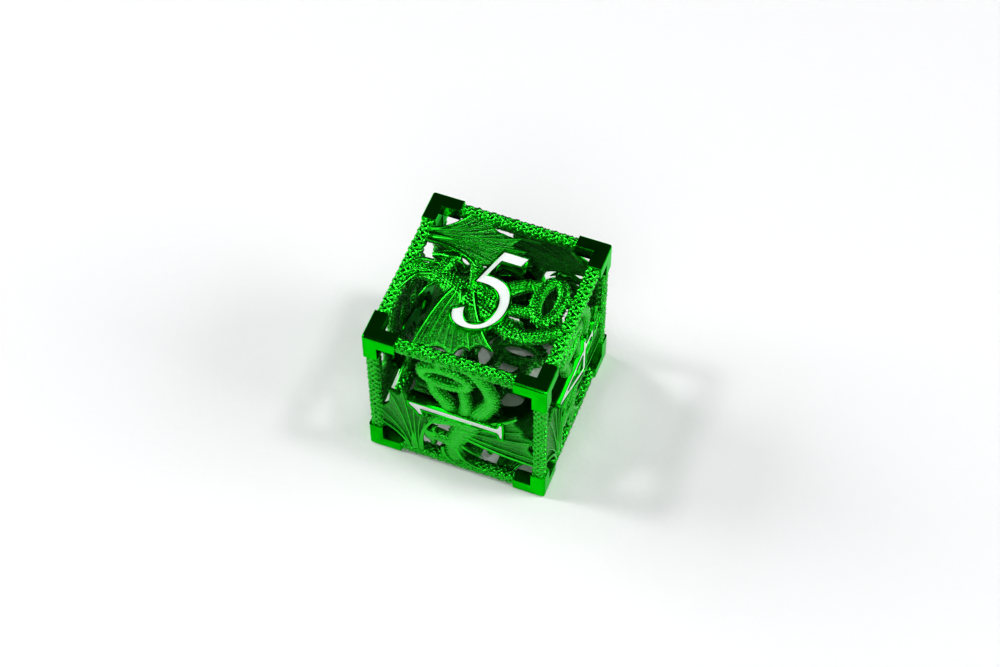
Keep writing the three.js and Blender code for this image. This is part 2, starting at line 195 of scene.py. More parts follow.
class Graph:
    """Adds and links the nodes of one tree."""

    def __init__(self, tree: bpy.types.NodeTree) -> None:
        """Takes the tree that the nodes go into."""
        self.tree = tree

    def add(self, kind: str, inputs: dict | None = None, **settings: object) -> bpy.types.Node:
        """Adds a node.

        Args:
            kind: The node's type.
            inputs: Values, nodes or sockets for its inputs, by name or number.
            **settings: Properties of the node.

        Returns:
            The new node.
        """
        node = self.tree.nodes.new(kind)
        for name, value in settings.items():
            setattr(node, name, value)
        for key, value in (inputs or {}).items():
            self.feed(node.inputs[key], value)
        return node

    def feed(self, socket: bpy.types.NodeSocket, value: object) -> None:
        """Links a node or a socket to an input, or sets the input to a plain value.

        Args:
            socket: The input.
            value: The node, socket or plain value.
        """
        if isinstance(value, bpy.types.Node):
            value = value.outputs[0]
        if isinstance(value, bpy.types.NodeSocket):
            self.tree.links.new(value, socket)
        else:
            socket.default_value = value

    def math(self, operation: str, *values: object) -> bpy.types.NodeSocket:
        """Returns the result of a Math node on up to three values."""
        return self.add("ShaderNodeMath", dict(enumerate(values)), operation=operation).outputs[0]

    def vector(self, operation: str, *values: object) -> bpy.types.NodeSocket:
        """Returns the vector result of a Vector Math node."""
        node = self.add("ShaderNodeVectorMath", dict(enumerate(values)), operation=operation)
        return node.outputs["Vector"]

    def scaled(self, vector: object, factor: object) -> bpy.types.NodeSocket:
        """Returns a vector times a number."""
        node = self.add("ShaderNodeVectorMath", {0: vector, "Scale": factor}, operation="SCALE")
        return node.outputs["Vector"]

    def combine(self, x: object, y: object, z: object) -> bpy.types.NodeSocket:
        """Returns the vector with three components."""
        return self.add("ShaderNodeCombineXYZ", {0: x, 1: y, 2: z}).outputs[0]

    def separate(self, vector: object) -> bpy.types.bpy_prop_collection:
        """Returns the three components of a vector."""
        return self.add("ShaderNodeSeparateXYZ", {0: vector}).outputs


class InputKind(Enum):
    """Kinds of named inputs that a recipe takes."""

    NUMBER = "NodeSocketFloat"
    COUNT = "NodeSocketInt"
    OBJECT = "NodeSocketObject"
    MATERIAL = "NodeSocketMaterial"


class Recipe:
    """A Geometry Nodes tree with named inputs, which turns a source object into a plain mesh."""

    def __init__(self, name: str, **kinds: InputKind) -> None:
        """Starts the tree.

        Args:
            name: The tree's name.
            **kinds: The kind of each named input, next to the geometry and the material.
        """
        self.tree = bpy.data.node_groups.new(name, "GeometryNodeTree")
        face = self.tree.interface
        face.new_socket("geometry", in_out="INPUT", socket_type="NodeSocketGeometry")
        face.new_socket("geometry", in_out="OUTPUT", socket_type="NodeSocketGeometry")
        kinds = {**kinds, "material": InputKind.MATERIAL}
        self.sockets = {
            label: face.new_socket(label, in_out="INPUT", socket_type=kind.value)
            for label, kind in kinds.items()
        }
        self.graph = Graph(self.tree)
        self.given = self.graph.add("NodeGroupInput").outputs

    def close(self, geometry: object) -> None:
        """Ends the tree with realized instances and the material.

        Args:
            geometry: What the tree has made.
        """
        real = self.graph.add("GeometryNodeRealizeInstances", {"Geometry": geometry})
        painted = self.graph.add(
            "GeometryNodeSetMaterial", {"Geometry": real, "Material": self.given["material"]}
        )
        self.graph.add("NodeGroupOutput", {0: painted})

    def smooth(self, geometry: object) -> bpy.types.Node:
        """Returns the node that shades a geometry smooth."""
        inputs = {"Geometry": geometry, "Shade Smooth": True}
        return self.graph.add("GeometryNodeSetShadeSmooth", inputs)

    def make(self, source: bpy.types.Object, **values: object) -> bpy.types.Mesh:
        """Runs the tree on an object, and removes the object.

        Args:
            source: The curve or mesh object to start from.
            **values: The value of each named input.

        Returns:
            The result as a plain mesh.
        """
        modifier = source.modifiers.new(self.tree.name, "NODES")
        modifier.node_group = self.tree
        for label, value in values.items():
            modifier[self.sockets[label].identifier] = value
        mesh = baked(source)
        source.modifiers.clear()
        bpy.data.objects.remove(source)
        mesh.materials.clear()
        mesh.materials.append(values["material"])
        return mesh


def baked(source: bpy.types.Object) -> bpy.types.Mesh:
    """Applies an object's modifiers to a copy of its shape.

    Args:
        source: The object.

    Returns:
        The shape as a new mesh.
    """
    bpy.context.view_layer.update()
    graph = bpy.context.evaluated_depsgraph_get()
    return bpy.data.meshes.new_from_object(
        source.evaluated_get(graph), preserve_all_data_layers=True, depsgraph=graph
    )


# ---- Meshes and curves --------------------------------------------------------------------------


def linked(name: str, data: bpy.types.ID) -> bpy.types.Object:
    """Returns a new object of the scene that holds some data."""
    thing = bpy.data.objects.new(name, data)
    bpy.context.scene.collection.objects.link(thing)
    return thing


def finished_mesh(name: str, bm: bmesh.types.BMesh, material: bpy.types.Material) -> bpy.types.Mesh:
    """Writes a bmesh with one material into a new mesh, and frees it.

    Args:
        name: The mesh's name.
        bm: The bmesh.
        material: The material.

    Returns:
        The new mesh.
    """
    mesh = bpy.data.meshes.new(name)
    bm.to_mesh(mesh)
    bm.free()
    mesh.materials.append(material)
    return mesh


def merged(name: str, meshes: Sequence[bpy.types.Mesh], place: Matrix) -> bpy.types.Object:
    """Joins copies of some meshes into one placed object, each with its own material.

    Args:
        name: The new object's name.
        meshes: The meshes, each with one material.
        place: The matrix that puts them in place.

    Returns:
        The new object, which sits at the origin.
    """
    bm = bmesh.new()
    materials: list[bpy.types.Material] = []
    for mesh in meshes:
        first = len(bm.faces)
        bm.from_mesh(mesh)
        bm.faces.ensure_lookup_table()
        material = mesh.materials[0]
        if material not in materials:
            materials.append(material)
        for face in bm.faces[first:]:
            face.material_index = materials.index(material)
    bm.transform(place)
    data = bpy.data.meshes.new(name)
    bm.to_mesh(data)
    bm.free()
    for material in materials:
        data.materials.append(material)
    return linked(name, data)


def deliver(piece: bpy.types.Object, node: str) -> None:
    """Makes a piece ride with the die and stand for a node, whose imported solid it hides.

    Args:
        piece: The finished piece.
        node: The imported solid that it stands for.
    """
    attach(piece, BODY)
    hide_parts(node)
    piece.data.calc_loop_triangles()
    LOG.info("%s: %d triangles", piece.name, len(piece.data.loop_triangles))


def press(mesh: bpy.types.Mesh, middle: float, half: float) -> bpy.types.Mesh:
    """Presses a mesh softly between two planes, and returns it.

    Args:
        mesh: The mesh, in a side's frame.
        middle: Height of the middle between the planes.
        half: Half the distance between them.

    Returns:
        The same mesh.
    """
    knee = 0.75 * half
    give = half - knee
    for vertex in mesh.vertices:
        away = vertex.co.z - middle
        if abs(away) > knee:
            pressed = knee + give * (1 - math.exp((knee - abs(away)) / give))
            vertex.co.z = middle + math.copysign(pressed, away)
    return mesh


def spline_points(points: Sequence[Point], count: int) -> list[Vector]:
    """Returns evenly timed points of the Catmull-Rom spline through some points.

    Args:
        points: The points to pass through.
        count: How many stretches to cut the spline into.

    Returns:
        The points along the spline, both ends included.
    """
    spans = len(points) - 1
    found = []
    for i in range(count + 1):
        t = spans * i / count
        k = min(int(t), spans - 1)
        p0, p1, p2, p3 = (Vector(points[min(max(k + j, 0), spans)]) for j in (-1, 0, 1, 2))
        if k == 0:
            p0 = p1
        if k == spans - 1:
            p3 = p2
        w = t - k
        v0, v1 = (p2 - p0) / 2, (p3 - p1) / 2
        cubic = 2 * p1 - 2 * p2 + v0 + v1
        square = -3 * p1 + 3 * p2 - 2 * v0 - v1
        found.append(cubic * w**3 + square * w**2 + v0 * w + p1)
    return found


def interpolate(values: Sequence[float], t: float) -> float:
    """Reads a value between evenly spaced ones.

    Args:
        values: The values.
        t: Share of the way along them.

    Returns:
        The value there.
    """
    spans = len(values) - 1
    k = min(int(t * spans), spans - 1)
    w = t * spans - k
    return values[k] * (1 - w) + values[k + 1] * w


@dataclass(frozen=True)
class Strand:
    """A line on the drawing grid with a radius along it, for a tube, a horn, a claw or a bone.

    Attributes:
        points: Points that it passes through, in grid steps.
        radii: Evenly spaced radii along it, in grid steps.
        lift: How far each end lies above the screen's middle, in millimetres.
        closed: Whether it is a ring.
    """

    points: tuple[Point, ...]
    radii: tuple[float, ...]
    lift: tuple[float, ...] = RESTING_LIFT
    closed: bool = False


def strand_curves(
    name: str, strands: Sequence[Strand], measures: Measures, steps: int = 48
) -> bpy.types.Object:
    """Makes a curve object with one spline for each strand, in millimetres.

    Args:
        name: The object's name.
        strands: The strands.
        measures: The die's measures.
        steps: How many stretches each spline has.

    Returns:
        The curve object.
    """
    data = bpy.data.curves.new(name, "CURVE")
    data.dimensions = "3D"
    for strand in strands:
        line = spline_points(strand.points, steps)
        if strand.closed:
            line.pop()
        spline = data.splines.new("POLY")
        spline.points.add(len(line) - 1)
        spline.use_cyclic_u = strand.closed
        for i, point in enumerate(line):
            t = i / steps
            z = measures.middle + interpolate(strand.lift, t)
            spline.points[i].co = (*(point * measures.unit), z, 1)
            spline.points[i].radius = interpolate(strand.radii, t) * measures.unit
    return linked(name, data)


def ring_points(centre: Point, rx: float, ry: float, count: int = 16) -> tuple[Point, ...]:
    """Returns the points of an ellipse, the first one repeated at the end."""
    turns = (2 * math.pi * i / count for i in range(count + 1))
    return tuple((centre[0] + rx * math.cos(a), centre[1] + ry * math.sin(a)) for a in turns)


# ---- Finishes -----------------------------------------------------------------------------------


@dataclass(frozen=True)
class Canvas:
    """The parts of a new material.

    Attributes:
        material: The material itself.
        graph: Its tree.
        shader: The shader that its surface has.
        place: Position on the die in millimetres.
    """

    material: bpy.types.Material
    graph: Graph
    shader: bpy.types.Node
    place: bpy.types.NodeSocket

    @classmethod
    def named(cls, name: str) -> Canvas:
        """Starts a material.

        Args:
            name: Its name.

        Returns:
            Its parts.
        """
        material = bpy.data.materials.new(name)
        material.use_nodes = True
        graph = Graph(material.node_tree)
        shader = material.node_tree.nodes["Principled BSDF"]
        place = graph.scaled(graph.add("ShaderNodeTexCoord").outputs["Object"], 1 / MM)
        return cls(material, graph, shader, place)

    def blend(self, share: object, low: Colour, high: Colour) -> bpy.types.NodeSocket:
        """Returns the colour at a share of the way from one colour to another."""
        inputs = {"Factor": share, "A": (*low, 1), "B": (*high, 1)}
        node = self.graph.add("ShaderNodeMix", inputs, data_type="RGBA", clamp_factor=True)
        return node.outputs["Result"]

    def noise(self, scale: float, detail: float, **more: float) -> bpy.types.NodeSocket:
        """Returns a noise of a scale per millimetre."""
        inputs = {"Vector": self.place, "Scale": scale, "Detail": detail, **more}
        return self.graph.add("ShaderNodeTexNoise", inputs).outputs["Fac"]

    def rise(self, height: object, distance: float, strength: float = 1.0) -> bpy.types.Node:
        """Makes a bump and uses it as the shader's normal.

        Args:
            height: The height as a field.
            distance: Metres for a height of one.
            strength: Share of the bump that shows.

        Returns:
            The bump.
        """
        inputs = {"Height": height, "Distance": distance, "Strength": strength}
        bump = self.graph.add("ShaderNodeBump", inputs)
        self.graph.feed(self.shader.inputs["Normal"], bump)
        return bump


@dataclass(frozen=True)
class Plating:
    """Translucent green plating over cast metal.

    Attributes:
        name: The material's name.
        crest_highlight_and_pale_patches: Colour on crests and edges, a painted highlight, and in the
            paler random patches.
        hollow_shade_and_dark_patches: Colour in creases and hollows, a painted shade, and in the
            darker random patches.
        roughness: Mean roughness.
        spread: How far the roughness varies.
        grain: Size of the cast grain in millimetres.
        relief: Height of the grain in millimetres.
        swell: Height of the slow unevenness under the plating in millimetres.
        half: Half the cube's edge in millimetres.
        bar: Depth of the frame's bars in millimetres.
        hollow_shade_level: Share of the colour left on the surfaces that face the die's hollow, a
            painted shade there.
        lacquer: Weight of the clear lacquer.
        lacquer_roughness: Its roughness.
        crests: Pointiness at which the painted shade of a hollow and the painted highlight of a crest
            are full.
        patch_scale: Scale of the plating's patches, per millimetre.
        patchiness: How much they change the colour.
        swell_scale: Scale of the slow unevenness, per millimetre.
        shade_fade_depth: Share of a bar's depth over which the colour is full, before the painted
            shade of the hollow fades in.
        edge: Tint of the reflection at a grazing angle.
    """

    name: str
    crest_highlight_and_pale_patches: Colour
    hollow_shade_and_dark_patches: Colour
    roughness: float
    spread: float
    grain: float
    relief: float
    swell: float
    half: float
    bar: float
    hollow_shade_level: float = 0.12
    lacquer: float = 0.0
    lacquer_roughness: float = 0.07
    crests: tuple[float, float] = (0.44, 0.56)
    patch_scale: float = 0.9
    patchiness: float = 0.7
    swell_scale: float = 0.6
    shade_fade_depth: float = 0.2
    edge: Colour = (0.4, 0.95, 0.45)

    def material(self) -> bpy.types.Material:
        """Builds the material."""
        canvas = Canvas.named(self.name)
        graph, shader = canvas.graph, canvas.shader
        # The share mixes random patches of the plating with painted shade in hollows and painted
        # highlight on crests, read from pointiness.
        crest = graph.add("ShaderNodeNewGeometry").outputs["Pointiness"]
        hollow = graph.add(
            "ShaderNodeMapRange",
            {"Value": crest, "From Min": self.crests[0], "From Max": self.crests[1]},
            clamp=True,
        ).outputs["Result"]
        patches = graph.math("SUBTRACT", canvas.noise(self.patch_scale, 3.0), 0.5)
        share = graph.math("MULTIPLY_ADD", patches, self.patchiness, hollow)
        colour = canvas.blend(share, self.hollow_shade_and_dark_patches, self.crest_highlight_and_pale_patches)
        feed = graph.feed
        # The painted shade of the die's hollow scales the colour down inside it.
        feed(shader.inputs["Base Color"], graph.scaled(colour, self._painted_hollow_shade(canvas)))
        fine = canvas.noise(1 / self.grain, 4.0, Roughness=0.6)
        varied = graph.math("SUBTRACT", fine, 0.5)
        feed(
            shader.inputs["Roughness"],
            graph.math("MULTIPLY_ADD", varied, 2 * self.spread, self.roughness),
        )
        height = graph.math(
            "ADD",
            graph.math("MULTIPLY", fine, self.relief),
            graph.math("MULTIPLY", canvas.noise(self.swell_scale, 1.0), self.swell),
        )
        feed(shader.inputs["Coat Normal"], canvas.rise(height, MM))
        shader.inputs["Metallic"].default_value = 1.0
        shader.inputs["Specular Tint"].default_value = (*self.edge, 1)
        shader.inputs["Coat Weight"].default_value = self.lacquer
        shader.inputs["Coat Roughness"].default_value = self.lacquer_roughness
        return canvas.material

    def _painted_hollow_shade(self, canvas: Canvas) -> bpy.types.NodeSocket:
        """Works out the painted shade inside the die: all of the colour outside and little in the
        hollow.

        Args:
            canvas: The material's parts.

        Returns:
            The share.
        """
        graph = canvas.graph
        centred = graph.vector("SUBTRACT", canvas.place, (0, 0, self.half))
        out = graph.separate(graph.vector("ABSOLUTE", centred))
        reach = graph.math("MAXIMUM", graph.math("MAXIMUM", out[0], out[1]), out[2])
        depth = graph.add(
            "ShaderNodeMapRange",
            {
                "Value": reach,
                "From Min": self.half - self.bar,
                "From Max": self.half - self.shade_fade_depth * self.bar,
                "To Min": self.hollow_shade_level,
            },
            clamp=True,
        )
        return depth.outputs["Result"]


@dataclass(frozen=True)
class Enamel:
    """Glossy white enamel, poured and slightly uneven.

    Attributes:
        name: The material's name.
        bright: Colour where it is thick.
        shaded: Colour where it is thin.
        roughness: Least roughness, and how much the clouds add to it.
        wave: Height of the surface's waves in millimetres.
        cloud_scale: Scale of the clouds, per millimetre.
        wave_scale: Scale of the waves, per millimetre.
        glaze: Weight of the clear glaze.
        glaze_roughness: Its roughness.
    """

    name: str = "white_enamel"
    bright: Colour = (0.9, 0.95, 0.93)
    shaded: Colour = (0.82, 0.88, 0.85)
    roughness: float = 0.16
    wave: float = 0.05
    cloud_scale: float = 1.4
    wave_scale: float = 1.1
    glaze: float = 0.5
    glaze_roughness: float = 0.06

    def material(self) -> bpy.types.Material:
        """Builds the material."""
        canvas = Canvas.named(self.name)
        graph, shader = canvas.graph, canvas.shader
        cloud = canvas.noise(self.cloud_scale, 4.0)
        graph.feed(shader.inputs["Base Color"], canvas.blend(cloud, self.shaded, self.bright))
        rough = graph.math("MULTIPLY_ADD", cloud, self.roughness, self.roughness)
        graph.feed(shader.inputs["Roughness"], rough)
        canvas.rise(canvas.noise(self.wave_scale, 2.0), self.wave * MM)
        shader.inputs["Coat Weight"].default_value = self.glaze
        shader.inputs["Coat Roughness"].default_value = self.glaze_roughness
        return canvas.material


@dataclass(frozen=True)
class Tabletop:
    """Matt white sheet that the die stands on.

    Attributes:
        name: The material's name.
        colour: Its colour.
        roughness: Its roughness.
        gloss: Strength of its reflection.
        tooth: Height of its texture in millimetres.
        tooth_scale: Scale of the texture, per millimetre.
        tooth_share: Share of the texture that shows.
    """

    name: str = "white_tabletop"
    colour: Colour = (0.86, 0.86, 0.87)
    roughness: float = 0.55
    gloss: float = 0.25
    tooth: float = 0.06
    tooth_scale: float = 1.6
    tooth_share: float = 0.6

    def material(self) -> bpy.types.Material:
        """Builds the material."""
        canvas = Canvas.named(self.name)
        canvas.rise(canvas.noise(self.tooth_scale, 2.0), self.tooth * MM, self.tooth_share)
        canvas.shader.inputs["Base Color"].default_value = (*self.colour, 1)
        canvas.shader.inputs["Roughness"].default_value = self.roughness
        canvas.shader.inputs["Specular IOR Level"].default_value = self.gloss
        return canvas.material


class Finishes:
    """The materials of the die, made once."""

    # Plating colours: the lighter is a painted highlight on crests, the darker a painted shade in
    # hollows; both also tint random patches.
    crest_highlight_and_pale_patches: Colour = (0.002, 0.58, 0.008)
    hollow_shade_and_dark_patches: Colour = (0.0, 0.16, 0.003)

    def __init__(self, measures: Measures) -> None:
        """Builds every material.

        Args:
            measures: The die's measures.
        """
        self.measures = measures
        self.polished = self._plating(
            "polished_plating", roughness=0.12, spread=0.05, grain=0.35, relief=0.002, swell=0.01
        )
        self.braid = self._plating(
            "braid_plating", roughness=0.2, spread=0.1, grain=0.12, relief=0.035, swell=0.01,
            lacquer=0.6,
        )
        self.scales = self._plating(
            "dragon_plating", roughness=0.19, spread=0.1, grain=0.12, relief=0.03, swell=0.02,
            lacquer=0.6,
        )
        self.membrane = self._plating(
            "membrane_plating", roughness=0.22, spread=0.1, grain=0.16, relief=0.12, swell=0.02,
            lacquer=0.7,
        )
        self.smooth = self._plating(
            "burnished_plating", roughness=0.2, spread=0.08, grain=0.1, relief=0.01, swell=0.02,
            lacquer=0.5,
        )
        self.rim = self._plating(
            "numeral_plating", roughness=0.15, spread=0.06, grain=0.25, relief=0.004, swell=0.01
        )
        self.enamel = Enamel().material()

    def _plating(self, name: str, **values: float) -> bpy.types.Material:
        """Returns a plating in the die's green."""
        m = self.measures
        shade = {"crest_highlight_and_pale_patches": self.crest_highlight_and_pale_patches, "hollow_shade_and_dark_patches": self.hollow_shade_and_dark_patches, "half": m.half, "bar": m.bar}
        return Plating(name, **shade, **values).material()


# ---- Recipes ------------------------------------------------------------------------------------


def flattened_tube(recipe: Recipe, step: object, sides: object) -> dict[str, object]:
    """Adds a tube along the source's curves, pressed to the screen's thickness, to a recipe.

    Args:
        recipe: The recipe, which has an input named height.
        step: Distance between the tube's rings, in millimetres.
        sides: Number of the tube's sides.

    Returns:
        The tube's mesh, and its tangent and radius as fields.
    """
    graph, given = recipe.graph, recipe.given
    even = graph.add(
        "GeometryNodeResampleCurve", {"Curve": given["geometry"], "Length": step}, mode="LENGTH"
    )
    capture = graph.add("GeometryNodeCaptureAttribute", domain="POINT")
    graph.feed(capture.inputs["Geometry"], even)
    kept = {
        "radius": ("FLOAT", "GeometryNodeInputRadius"),
        "tangent": ("VECTOR", "GeometryNodeInputTangent"),
        "centre": ("VECTOR", "GeometryNodeInputPosition"),
    }
    for label, (kind, _) in kept.items():
        capture.capture_items.new(kind, label)
    for label, (_, source) in kept.items():
        graph.feed(capture.inputs[label], graph.add(source))
    profile = graph.add("GeometryNodeCurvePrimitiveCircle", {"Resolution": sides, "Radius": 1.0})
    radius = capture.outputs["radius"]
    tube = graph.add(
        "GeometryNodeCurveToMesh",
        {
            "Curve": capture.outputs["Geometry"],
            "Profile Curve": profile,
            "Scale": radius,
            "Fill Caps": True,
        },
    )
    squeeze = graph.math("DIVIDE", graph.math("MINIMUM", radius, given["height"]), radius)
    centre = capture.outputs["centre"]
    away = graph.vector("SUBTRACT", graph.add("GeometryNodeInputPosition"), centre)
    pressed = graph.vector("MULTIPLY", away, graph.combine(1.0, 1.0, squeeze))
    moved = graph.add(
        "GeometryNodeSetPosition",
        {"Geometry": tube, "Position": graph.vector("ADD", centre, pressed)},
    )
    return {"mesh": moved.outputs[0], "tangent": capture.outputs["tangent"], "radius": radius}


def smooth_tube_recipe() -> Recipe:
    """Recipe for horns, claws, bones and smooth limbs along curves."""
    recipe = Recipe(
        "smooth_tube", step=InputKind.NUMBER, sides=InputKind.COUNT, height=InputKind.NUMBER
    )
    tube = flattened_tube(recipe, recipe.given["step"], recipe.given["sides"])
    recipe.close(recipe.smooth(tube["mesh"]))
    return recipe


def scaled_tube_recipe() -> Recipe:
    """Recipe for limbs along curves that are covered with rows of overlapping scales."""
    recipe = Recipe(
        "scaled_tube",
        step=InputKind.NUMBER,
        sides=InputKind.COUNT,
        height=InputKind.NUMBER,
        row=InputKind.NUMBER,
        columns=InputKind.COUNT,
        scale=InputKind.NUMBER,
        lift=InputKind.NUMBER,
        template=InputKind.OBJECT,
    )
    graph, given = recipe.graph, recipe.given
    core = flattened_tube(recipe, given["step"], given["sides"])
    grid = flattened_tube(recipe, given["row"], given["columns"])
    index = graph.add("GeometryNodeInputIndex")
    row = graph.math("FLOOR", graph.math("DIVIDE", index, given["columns"]))
    column = graph.math("MODULO", index, given["columns"])
    offset = graph.math("MODULO", graph.math("ADD", row, column), 2.0)
    chosen = graph.math("LESS_THAN", offset, 0.5)
    normal = graph.add("GeometryNodeInputNormal")
    upright = graph.add("FunctionNodeAlignRotationToVector", {"Vector": normal}, axis="Z")
    along = graph.add(
        "FunctionNodeAlignRotationToVector",
        {"Rotation": upright, "Vector": grid["tangent"]},
        axis="X",
        pivot_axis="Z",
    )
    loose = graph.add(
        "FunctionNodeRandomValue",
        {0: (-0.12, -0.12, -0.3), 1: (0.12, 0.12, 0.3), "Seed": 3},
        data_type="FLOAT_VECTOR",
    )
    turn = graph.vector("ADD", graph.combine(0.0, given["lift"], 0.0), loose.outputs[0])
    tilted = graph.add(
        "FunctionNodeRotateRotation", {"Rotation": along, "Rotate By": turn}, rotation_space="LOCAL"
    )
    slim = graph.math("MINIMUM", 1.0, graph.math("MULTIPLY_ADD", grid["radius"], 1.1, 0.25))
    wobble = graph.add("FunctionNodeRandomValue", {2: 0.75, 3: 1.2, "Seed": 7}, data_type="FLOAT")
    size = graph.math("MULTIPLY", graph.math("MULTIPLY", slim, given["scale"]), wobble.outputs[1])
    template = graph.add(
        "GeometryNodeObjectInfo", {"Object": given["template"]}, transform_space="ORIGINAL"
    )
    scales = graph.add(
        "GeometryNodeInstanceOnPoints",
        {
            "Points": grid["mesh"],
            "Selection": chosen,
            "Instance": template.outputs["Geometry"],
            "Rotation": tilted,
            "Scale": graph.combine(size, size, size),
        },
    )
    both = graph.add("GeometryNodeJoinGeometry")
    graph.feed(both.inputs[0], recipe.smooth(core["mesh"]))
    graph.feed(both.inputs[0], scales)
    recipe.close(both)
    return recipe


def spike_row_recipe() -> Recipe:
    """Recipe for a row of small spikes that stand beside curves and lean along them."""
    recipe = Recipe(
        "spike_row",
        spacing=InputKind.NUMBER,
        length=InputKind.NUMBER,
        width=InputKind.NUMBER,
        side=InputKind.NUMBER,
        lean=InputKind.NUMBER,
        sink=InputKind.NUMBER,
    )
    graph, given = recipe.graph, recipe.given
    even = graph.add(
        "GeometryNodeResampleCurve",
        {"Curve": given["geometry"], "Length": given["spacing"]},
        mode="LENGTH",
    )
    tangent = graph.add("GeometryNodeInputTangent").outputs[0]
    across = graph.scaled(graph.vector("CROSS_PRODUCT", (0, 0, 1), tangent), given["side"])
    reach = graph.math("MULTIPLY", graph.add("GeometryNodeInputRadius"), given["sink"])
    moved = graph.add(
        "GeometryNodeSetPosition", {"Geometry": even, "Offset": graph.scaled(across, reach)}
    )
    heading = graph.vector("ADD", across, graph.scaled(tangent, given["lean"]))
    turned = graph.add("FunctionNodeAlignRotationToVector", {"Vector": heading}, axis="Z")
    cone = graph.add(
        "GeometryNodeMeshCone",
        {
            "Vertices": 6,
            "Side Segments": 3,
            "Radius Top": 0.02,
            "Radius Bottom": given["width"],
            "Depth": given["length"],
        },
    )
    spikes = graph.add(
        "GeometryNodeInstanceOnPoints",
        {"Points": moved, "Instance": cone.outputs["Mesh"], "Rotation": turned},
    )
    recipe.close(spikes)
    return recipe


def braid_recipe() -> Recipe:
    """Recipe for a braid of twisted strands that wind both ways round a square bar along X."""
    recipe = Recipe(
        "braid",
        length=InputKind.NUMBER,
        pitch=InputKind.NUMBER,
        strands=InputKind.COUNT,
        half=InputKind.NUMBER,
        thick=InputKind.NUMBER,
        weave=InputKind.NUMBER,
        steps=InputKind.COUNT,
        twist=InputKind.NUMBER,
    )
    graph, given = recipe.graph, recipe.given
    line = graph.add("GeometryNodeCurvePrimitiveLine", {"End": graph.combine(1.0, 0.0, 0.0)})
    even = graph.add(
        "GeometryNodeResampleCurve", {"Curve": line, "Count": given["steps"]}, mode="COUNT"
    )
    copies = graph.add(
        "GeometryNodeDuplicateElements",
        {"Geometry": even, "Amount": graph.math("MULTIPLY", given["strands"], 2.0)},
        domain="SPLINE",
    )
    share = graph.add("GeometryNodeSplineParameter").outputs["Factor"]
    number = copies.outputs["Duplicate Index"]
    hand = graph.math("MULTIPLY_ADD", graph.math("MODULO", number, 2.0), 2.0, -1.0)
    place = graph.math("MULTIPLY", graph.math("SUBTRACT", share, 0.5), given["length"])
    turn = graph.math("DIVIDE", graph.math("MULTIPLY", place, 2 * math.pi), given["pitch"])
    pair = graph.math("FLOOR", graph.math("DIVIDE", number, 2.0))
    start = graph.math("DIVIDE", pair, given["strands"])
    angle = graph.math("MULTIPLY_ADD", turn, hand, graph.math("MULTIPLY", start, 2 * math.pi))
    phase = graph.math("COSINE", graph.math("MULTIPLY", turn, given["strands"]))
    rise = graph.math("MULTIPLY", graph.math("MULTIPLY", phase, hand), given["weave"])
    cosine, sine = graph.math("COSINE", angle), graph.math("SINE", angle)
    power = [
        graph.math("POWER", graph.math("ABSOLUTE", value), SQUARENESS) for value in (cosine, sine)
    ]
    rounded = graph.math("POWER", graph.math("ADD", *power), -1 / SQUARENESS)
    reach = graph.math("MULTIPLY", graph.math("ADD", given["half"], rise), rounded)
    wound = graph.add(
        "GeometryNodeSetPosition",
        {
            "Geometry": copies.outputs[0],
            "Position": graph.combine(
                place, graph.math("MULTIPLY", reach, cosine), graph.math("MULTIPLY", reach, sine)
            ),
        },
    )
    tilt = graph.math("MULTIPLY", share, given["twist"])
    tilted = graph.add("GeometryNodeSetCurveTilt", {"Curve": wound, "Tilt": tilt})
    circle = graph.add(
        "GeometryNodeCurvePrimitiveCircle", {"Resolution": 9, "Radius": given["thick"]}
    )
    spot = graph.add("GeometryNodeInputPosition").outputs[0]
    around = graph.separate(spot)
    bearing = graph.math("ARCTAN2", around[1], around[0])
    lobes = graph.math("COSINE", graph.math("MULTIPLY", bearing, 3.0))
    swelled = graph.scaled(spot, graph.math("MULTIPLY_ADD", lobes, 0.16, 1.0))
    lobed = graph.add("GeometryNodeSetPosition", {"Geometry": circle, "Position": swelled})
    strands = graph.add(
        "GeometryNodeCurveToMesh", {"Curve": tilted, "Profile Curve": lobed, "Fill Caps": True}
    )
    recipe.close(recipe.smooth(strands))
    return recipe


# ---- Cage: corner blocks and rails --------------------------------------------------------------


